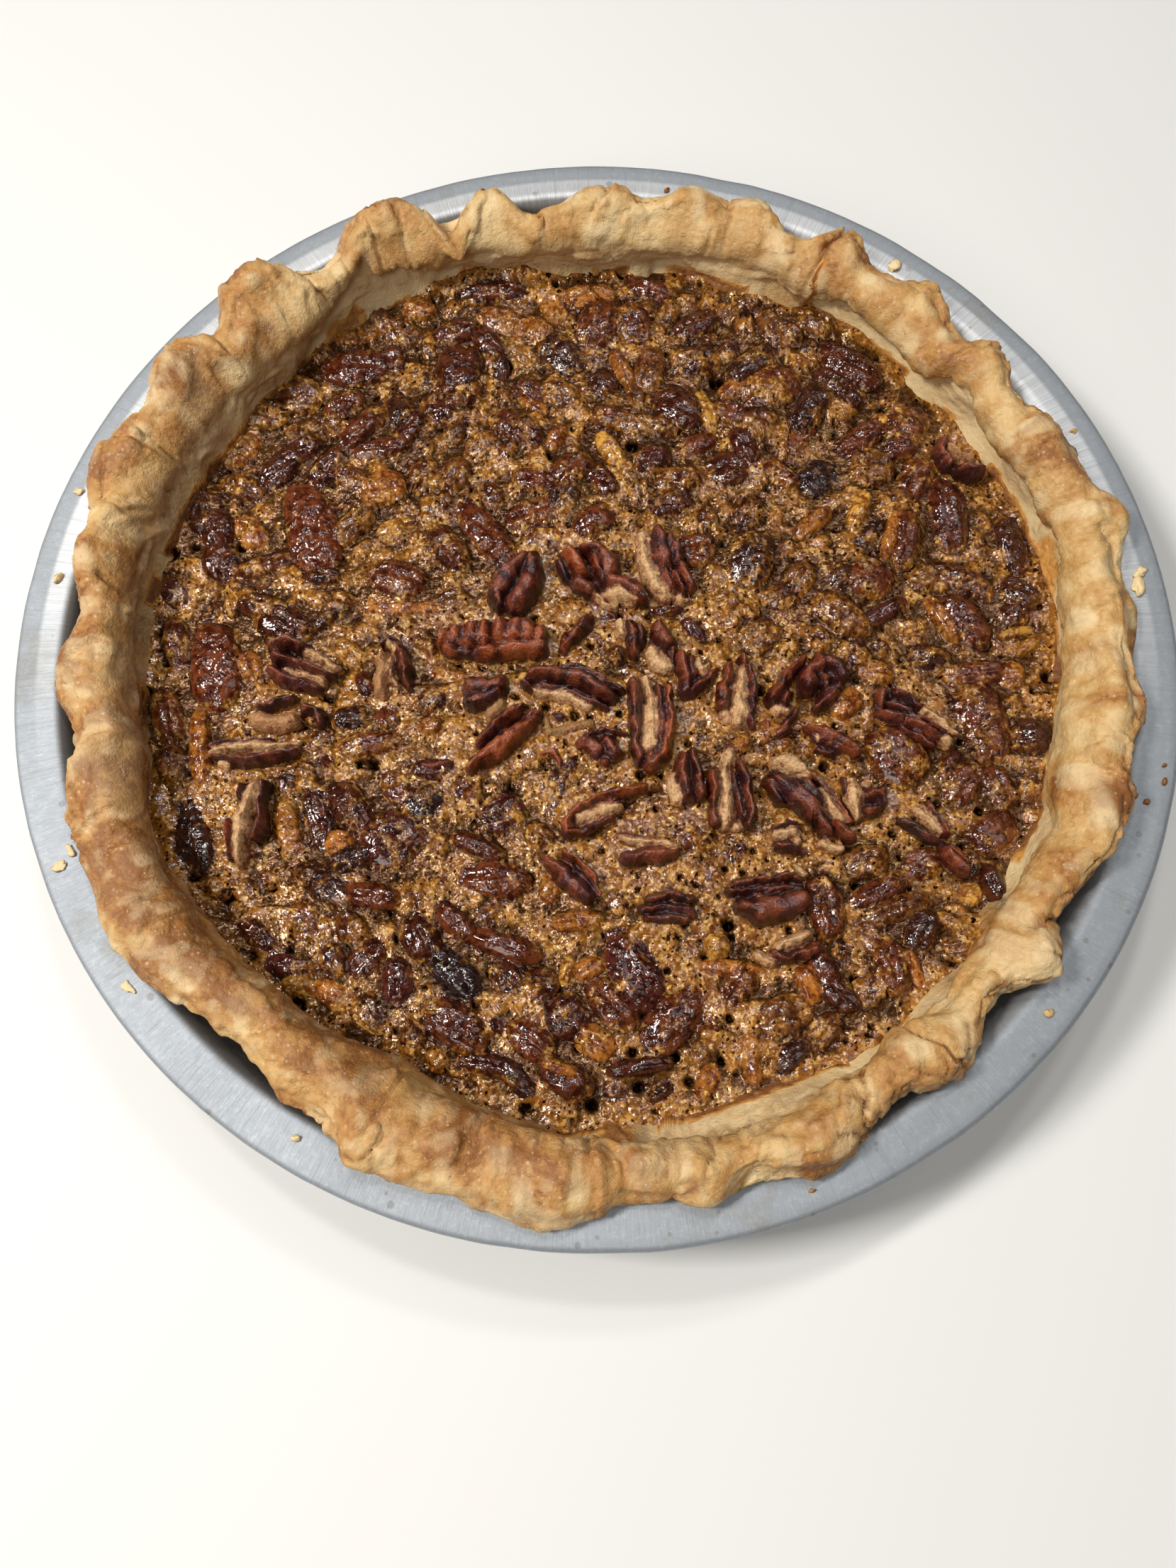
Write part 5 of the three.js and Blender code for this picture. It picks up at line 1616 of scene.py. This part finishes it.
# Broken bits that lie loose between the halves.
LOOSE_BITS = """
f1: -11.4 -16.4 .9, -11 -20 1, -6 -18.6 1.2, -1.8 -17.6 1.1; d.9: -8.4 -15.8 1.4
c1: -12.2 -24.6 .9, -9.6 -24.2 .9, -8.4 -27.2 .7; r.9: -7.2 -27.6 .6, -6 -26.2 .6, -5.3 -28 .5
r1: 37.8 -18.4 1.2, 38 -21 1.2; r1: 40.2 -20.4 1.8, 43.2 -18 1.3, 44.4 -15 .8
w1: 41.8 -50.2 .8, 43.6 -52 1.2
p1: -38.6 -27.4 1.3, -35 -27.2 1.6, -32.2 -27 1.2
"""


# %% Lobes and the lines along them
NUT_KEEL = FOAM_LEVEL - 0.9
NUT_GRID = (58, 40)
FLESHY = "wtf"
LOBE_SPREAD = 1.22
LOBE_BLEND = 0.45
NUT_SHOULDER = 2.6


def read_lobes(text):
    """Lobes as (colour letter, height share, points of x, y and radius)."""
    lobes = []
    for part in text.split(";"):
        head, body = part.split(":")
        points = [[float(v) for v in point.split()] for point in body.split(",")]
        lobes.append((head.strip()[0], float(head.strip()[1:]), np.array(points)))
    return lobes


def along_lobe(x, y, points):
    """For each place: how far off the lobe's line as a share of its radius, its radius, and how far along."""
    best = np.full(x.shape, 9.0)
    radius, along = np.ones(x.shape), np.zeros(x.shape)
    walked = 0
    ends = points if len(points) > 1 else join([points, points + (0.01, 0, 0)])
    for start, end in zip(ends[:-1], ends[1:]):
        run = end[:2] - start[:2]
        span = max(math.hypot(*run), 1e-6)
        t = np.clip(((x - start[0]) * run[0] + (y - start[1]) * run[1]) / span**2, 0, 1)
        own = LOBE_SPREAD * (start[2] + (end[2] - start[2]) * t)
        off = np.hypot(x - start[0] - run[0] * t, y - start[1] - run[1] * t) / own
        closer = off < best
        best, radius = np.where(closer, off, best), np.where(closer, own, radius)
        along = np.where(closer, walked + span * t, along)
        walked += span
    return best, radius, along


# %% The surface over the lobes
def lobe_surface(x, y, lobes, top, wrinkle):
    """Height at each place over a nut, and marks for its colour, its flesh and its ridges."""
    spot = xyz(x, y, 0)
    x = x + 0.5 * noise(spot, 2.6, 86) + 0.26 * noise(spot, 1, 87)
    y = y + 0.5 * noise(spot, 2.6, 88) + 0.26 * noise(spot, 1, 89)
    offs, radii, wrinkles = [], [], []
    for index, (letter, share, points) in enumerate(lobes):
        off, radius, along = along_lobe(x, y, points)
        across = xyz(along, off * radius * 0.3, 31 * index)
        lengthwise = xyz(along * 0.2, off * radius, 47 * index)
        offs.append(off)
        radii.append(radius)
        folded = wrinkle * noise(across, 1.1 + 0.5 * (index % 3), 81)
        wrinkles.append(folded + 0.2 * noise(lengthwise, 0.9, 80))
    offs, radii, wrinkles = np.array(offs), np.array(radii), np.array(wrinkles)
    told = [(share, letter in FLESHY) for letter, share, _ in lobes]
    shares, fleshy = np.array(told, float).T.reshape(2, -1, *[1] * x.ndim)
    inward = np.clip((1 - offs) * radii, -6, 6)
    inside = LOBE_BLEND * np.log(np.exp(inward / LOBE_BLEND).sum(axis=0))
    shoulder = np.sqrt(np.clip(1 - np.clip(1 - inside / NUT_SHOULDER, 0, 1) ** 2, 0, 1))
    near = np.exp(-1.6 * offs**2) + 1e-9
    near /= near.sum(axis=0)
    ragged = np.array([0.12 * noise(spot + 40 * k, 0.7, 84) for k in range(len(lobes))])
    own = np.exp(-np.clip(offs + ragged - (offs + ragged).min(axis=0), 0, 3) / 0.035)
    own /= own.sum(axis=0)
    flesh = (own * fleshy).sum(axis=0)
    ordered = np.sort(join([offs, offs * 0 + 3])[: len(lobes) + 1], axis=0)
    valley = bell(ordered[1] - ordered[0], 0.26) * step(1.3, 0.9, ordered[0])
    arch = np.clip(1 - ordered[0] ** 2, 0, 1)
    share = (near * (shares - 0.10 * fleshy)).sum(axis=0)
    body = NUT_KEEL + (top - 0.4 - NUT_KEEL) * (0.3 + 0.7 * share) * shoulder
    swell = 0.55 * arch * (1 - 0.75 * flesh) - valley * (0.75 - 0.5 * flesh)
    folds = (own * wrinkles).sum(axis=0) * (1 - 0.6 * flesh)
    rough = 0.12 * noise(spot, 0.8, 82) + 0.2 * noise(spot, 1.7, 85) + 0.32 * noise(spot, 3.6, 83)
    height = body + shoulder * (swell + folds + rough)
    height = np.where(inside > 0, height, NUT_KEEL)
    tint = np.tensordot(own, np.array([NUT_COLOURS[letter][:3] for letter, _, _ in lobes]), axes=(0, 0))
    ridge = np.clip(arch + 0.8 * folds / max(wrinkle, 0.1) - valley, 0, 1) * shoulder
    return height, {"tint": tint, "flesh": flesh, "ridge": ridge}


# %% A closed mesh over the lobes
def nut_patch(lobes, top, wrinkle, grid):
    """A closed mesh over one nut's lobes: points, faces and marks."""
    everything = join([points for _, _, points in lobes])
    middle = np.average(everything[:, :2], axis=0, weights=everything[:, 2])
    spread = everything[:, :2] - middle
    _, _, axes = np.linalg.svd(spread + 1e-6, full_matrices=False)
    heading = math.atan2(axes[0, 1], axes[0, 0])
    turn = np.array([[math.cos(heading), math.sin(heading)], [-math.sin(heading), math.cos(heading)]])
    own = spread @ turn.T
    high = (own + everything[:, 2:]).max(axis=0)
    low = (own - everything[:, 2:]).min(axis=0)
    middle = middle + ((high + low) / 2) @ turn
    half = (high - low) / 2
    angles = np.linspace(0, 2 * math.pi, 241)
    reaches = np.linspace(0.05, 1.5, 90)
    rays = circle_points(1, 0, angles)[:, :2] * half @ turn
    probe = middle + rays[:, None] * reaches[None, :, None]
    covered = np.zeros(probe.shape[:2], bool)
    for _, _, points in lobes:
        covered |= along_lobe(probe[..., 0], probe[..., 1], points)[0] < 1.06
    edge = np.array([reaches[np.nonzero(row)[0][-1]] if row.any() else 0.05 for row in covered])
    edge[-1] = edge[0]
    columns, rows = grid
    reach = np.sin(np.linspace(0, 1, rows // 2 + 1)[1:] * math.pi / 2) ** 0.9
    spin = full_turn(columns * 2)
    rim = np.interp(spin, angles, edge)
    direction = circle_points(1, 0, spin)[:, :2] * half @ turn
    flat = middle + direction[None] * (reach[:, None] * rim[None])[..., None]
    height, marks = lobe_surface(flat[..., 0], flat[..., 1], lobes, top, wrinkle)
    peak, peak_marks = lobe_surface(middle[:1], middle[1:], lobes, top, wrinkle)
    size = len(spin)
    top_points = join([flat, height[..., None]], -1).reshape(-1, 3)
    under = join([middle + (flat[-1] - middle) * 0.93, np.full((size, 1), NUT_KEEL - 0.8)], -1)
    points = join([top_points, under, [(*middle, peak[0])], [(*middle, NUT_KEEL - 0.8)]])
    faces = capped_faces(len(reach) + 1, size, outward=False)
    for key, value in marks.items():
        marks[key] = join([value.reshape(-1, *value.shape[2:]), value[-1], peak_marks[key], peak_marks[key]])
    over_foam = points[:, 2] - FOAM_LEVEL + 0.8 * noise(points, 2.6, 90) + 0.4 * noise(points, 1.1, 91)
    marks["foamed"] = step(1.5, 0.1, over_foam)
    return points, faces, marks


# %% Finish of the dry nuts
def dry_nut_finish():
    material, tree, shader = new_material("baked_pecan", specular_ior_level=0.6)
    here, tint = object_place(tree), mark(tree, "tint", "Color")
    mottle, veins = grain(tree, here, 2, 0.6, 0.8), grain(tree, here, 0.7, 0.3, 0.6)
    flesh, ridge = mark(tree, "flesh"), mark(tree, "ridge")
    # The skin is painted lighter on its ridges, a painted sheen, and darker in its valleys, painted shade,
    # over its mottling.
    sheen_shade_and_mottle = plus(tree, times(tree, ridge, 0.8), mottle)
    skin_tint = blend_colour(tree, 1, tint, srgb(255, 216, 206), "MULTIPLY")
    dark = blend_colour(tree, 1, skin_tint, srgb(122, 78, 72), "MULTIPLY")
    light = paint(tree, skin_tint, between(tree, sheen_shade_and_mottle, 1.2, 1.8, 0, 0.45), (172, 92, 58))
    skin = blend_colour(tree, between(tree, sheen_shade_and_mottle, 0.85, 1.5), dark, light)
    plum = grain(tree, here, 6.5, 2.2, 0.7)
    skin = paint(tree, skin, between(tree, plum, 0.84, 1.04, 0, 0.7), (58, 24, 36))
    worn = minus(tree, mottle, times(tree, ridge, 0.3))
    meat = paint(tree, tint, between(tree, worn, 0.6, 0.9), (186, 130, 84))
    meat = paint(tree, meat, between(tree, worn, 0.84, 1, 0, 0.85), (116, 60, 36))
    colour = blend_colour(tree, flesh, skin, meat)
    colour = paint(tree, colour, between(tree, veins, 0.95, 0.6, 0, 0.4), (60, 30, 20))
    foam = use_group(tree, FOAM, {"Place": here, "Amber": 0.4})
    foamed = between(tree, mark(tree, "foamed"), 0.3, 0.7)
    colour = blend_colour(tree, foamed, colour, foam["Foam Colour"])
    relief = bump(tree, mottle, 0.6, 0.5)
    relief = bump(tree, veins, 0.6, 0.22, relief)
    relief = bump(tree, times(tree, foam["Relief"], foamed), 0.6, 0.16, relief)
    rough = between(tree, flesh, 0, 1, 0.27, 0.6)
    wire(tree, shader.inputs, {"Base Color": colour, "Roughness": rough, "Normal": relief})
    return material


DRY_NUT = dry_nut_finish()

# %% Nuts in their places
past_box = []
for paragraph in TOP_NUTS.split("\n\n"):
    number, lobe_text = paragraph.split(maxsplit=1)
    node = "pecan_" + number
    low, high = np.array(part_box(node)) / MM
    wrinkle = WRINKLED.get(number, USUAL_WRINKLE)
    points, faces, marks = nut_patch(read_lobes(lobe_text), high[2], wrinkle, NUT_GRID)
    nut = mesh_object("dry_" + node, points, faces, marks)
    nut.data.materials.append(DRY_NUT)
    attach(nut, "root")
    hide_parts(node)
    past_box.append(max((low - points.min(axis=0))[:2].max(), (points.max(axis=0) - high)[:2].max()))
print("nuts on top:", len(past_box), "furthest past its box, mm:", round(float(max(past_box)), 1))
measure(nut)

# %% Loose bits
BIT_GRID, BIT_TOP, BIT_WRINKLE = (26, 20), FOAM_LEVEL + 2.6, 0.14
bit_lines = LOOSE_BITS.strip().split("\n")
bits = [nut_patch(read_lobes(line), BIT_TOP, BIT_WRINKLE, BIT_GRID) for line in bit_lines]
starts = np.cumsum([0] + [len(bit[0]) for bit in bits])
bit_faces = [face + start for bit, start in zip(bits, starts) for face in bit[1]]
bit_marks = {key: join([bit[2][key] for bit in bits]) for key in bits[0][2]}
loose = mesh_object("loose_pecan_bits", join([bit[0] for bit in bits]), bit_faces, bit_marks)
loose.data.materials.append(DRY_NUT)
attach(loose, "root")
measure(loose)


# %% [markdown]
# ## Crumbs
# Flakes broke off the rim and lie on the flange, with a few burnt specks and dried drops of
# syrup. Each one is a small lumpy pebble, pressed flat, of the same pastry.

# %% Crumbs on the flange
# [angle, distance from the axis, length, width, thickness, heading, browning].
CRUMBS = rows_of("""
52.6 120.2 4.2 3.2 .8 35 0, 4.6 120.4 4.6 2.8 .9 70 0, 6.3 121.4 3 2.2 .8 20 0,
173.2 120.2 2.4 1.6 .8 60 .1, 162.9 122.8 2.2 1.6 .5 10 .05, 203.6 119.6 2.6 1.4 .5 -60 0,
204.6 122.6 3.4 2.2 .14 20 .05, 218.6 121.6 3.2 1.7 .14 -40 .05, 101.6 120.6 1.3 1 .5 0 1,
102.8 121.8 1.5 .9 .5 50 1, 103.4 120 1 .8 .4 0 1, 81 119.8 1.4 1 .5 30 1, 343.6 124 1.8 1 .5 70 1,
345.2 123.6 1 .8 .4 0 1, 341 121.2 1.4 1.1 .5 0 1, 131 121.6 1.6 1.2 .6 10 .4, 240.5 120.8 1.8 1.2 .5 0 .1,
317 121.4 2.2 1.4 .8 40 .3, 24 121 1.4 1 .5 0 .6, 289 122.4 1.2 .9 .4 0 .8
""")
CRUMB_RINGS, CRUMB_TURNS = 9, 18


def crumb_shape(index, length, width, thickness):
    """A closed pebble round the origin, flat underneath: points and faces."""
    spin = full_turn(CRUMB_TURNS)[None, :]
    tip = np.linspace(0.12, math.pi - 0.12, CRUMB_RINGS)[:, None]
    ball = circle_points(np.sin(tip), -np.cos(tip), spin)
    ball = join([ball.reshape(-1, 3), [(0, 0, -1), (0, 0, 1)]])
    away = 37 * index
    swell = 1 + 0.5 * noise(ball + away, 0.8, 101) + 0.2 * noise(ball + away, 0.4, 102)
    points = ball * swell[:, None] * (length / 2, width / 2, thickness)
    points[:, 2] = np.maximum(points[:, 2], -0.1)
    return points, capped_faces(CRUMB_RINGS, CRUMB_TURNS)


def build_crumbs():
    all_points, all_faces, browning = [], [], []
    start = 0
    for index, (angle, away, length, width, thickness, heading, brown) in enumerate(CRUMBS):
        points, faces = crumb_shape(index, length, width, thickness)
        turn, own = math.radians(angle), math.radians(heading)
        x = points[:, 0] * math.cos(own) - points[:, 1] * math.sin(own) + away * math.cos(turn)
        y = points[:, 0] * math.sin(own) + points[:, 1] * math.cos(own) + away * math.sin(turn)
        all_points.append(xyz(x, y, points[:, 2] + PAN_HEIGHT))
        all_faces += [face + start for face in faces]
        browning.append(np.full(len(points), brown))
        start += len(points)
    browning = join(browning)
    burnt = step(0.7, 1, browning)
    marks = {"browning": browning, "pale": step(0.35, 0.1, browning), "syrup": 0 * browning, "crack": burnt}
    return mesh_object("pastry_crumbs", join(all_points), all_faces, marks)


crumbs = build_crumbs()
crumbs.data.materials.append(PASTRY)
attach(crumbs, "root")
measure(crumbs)
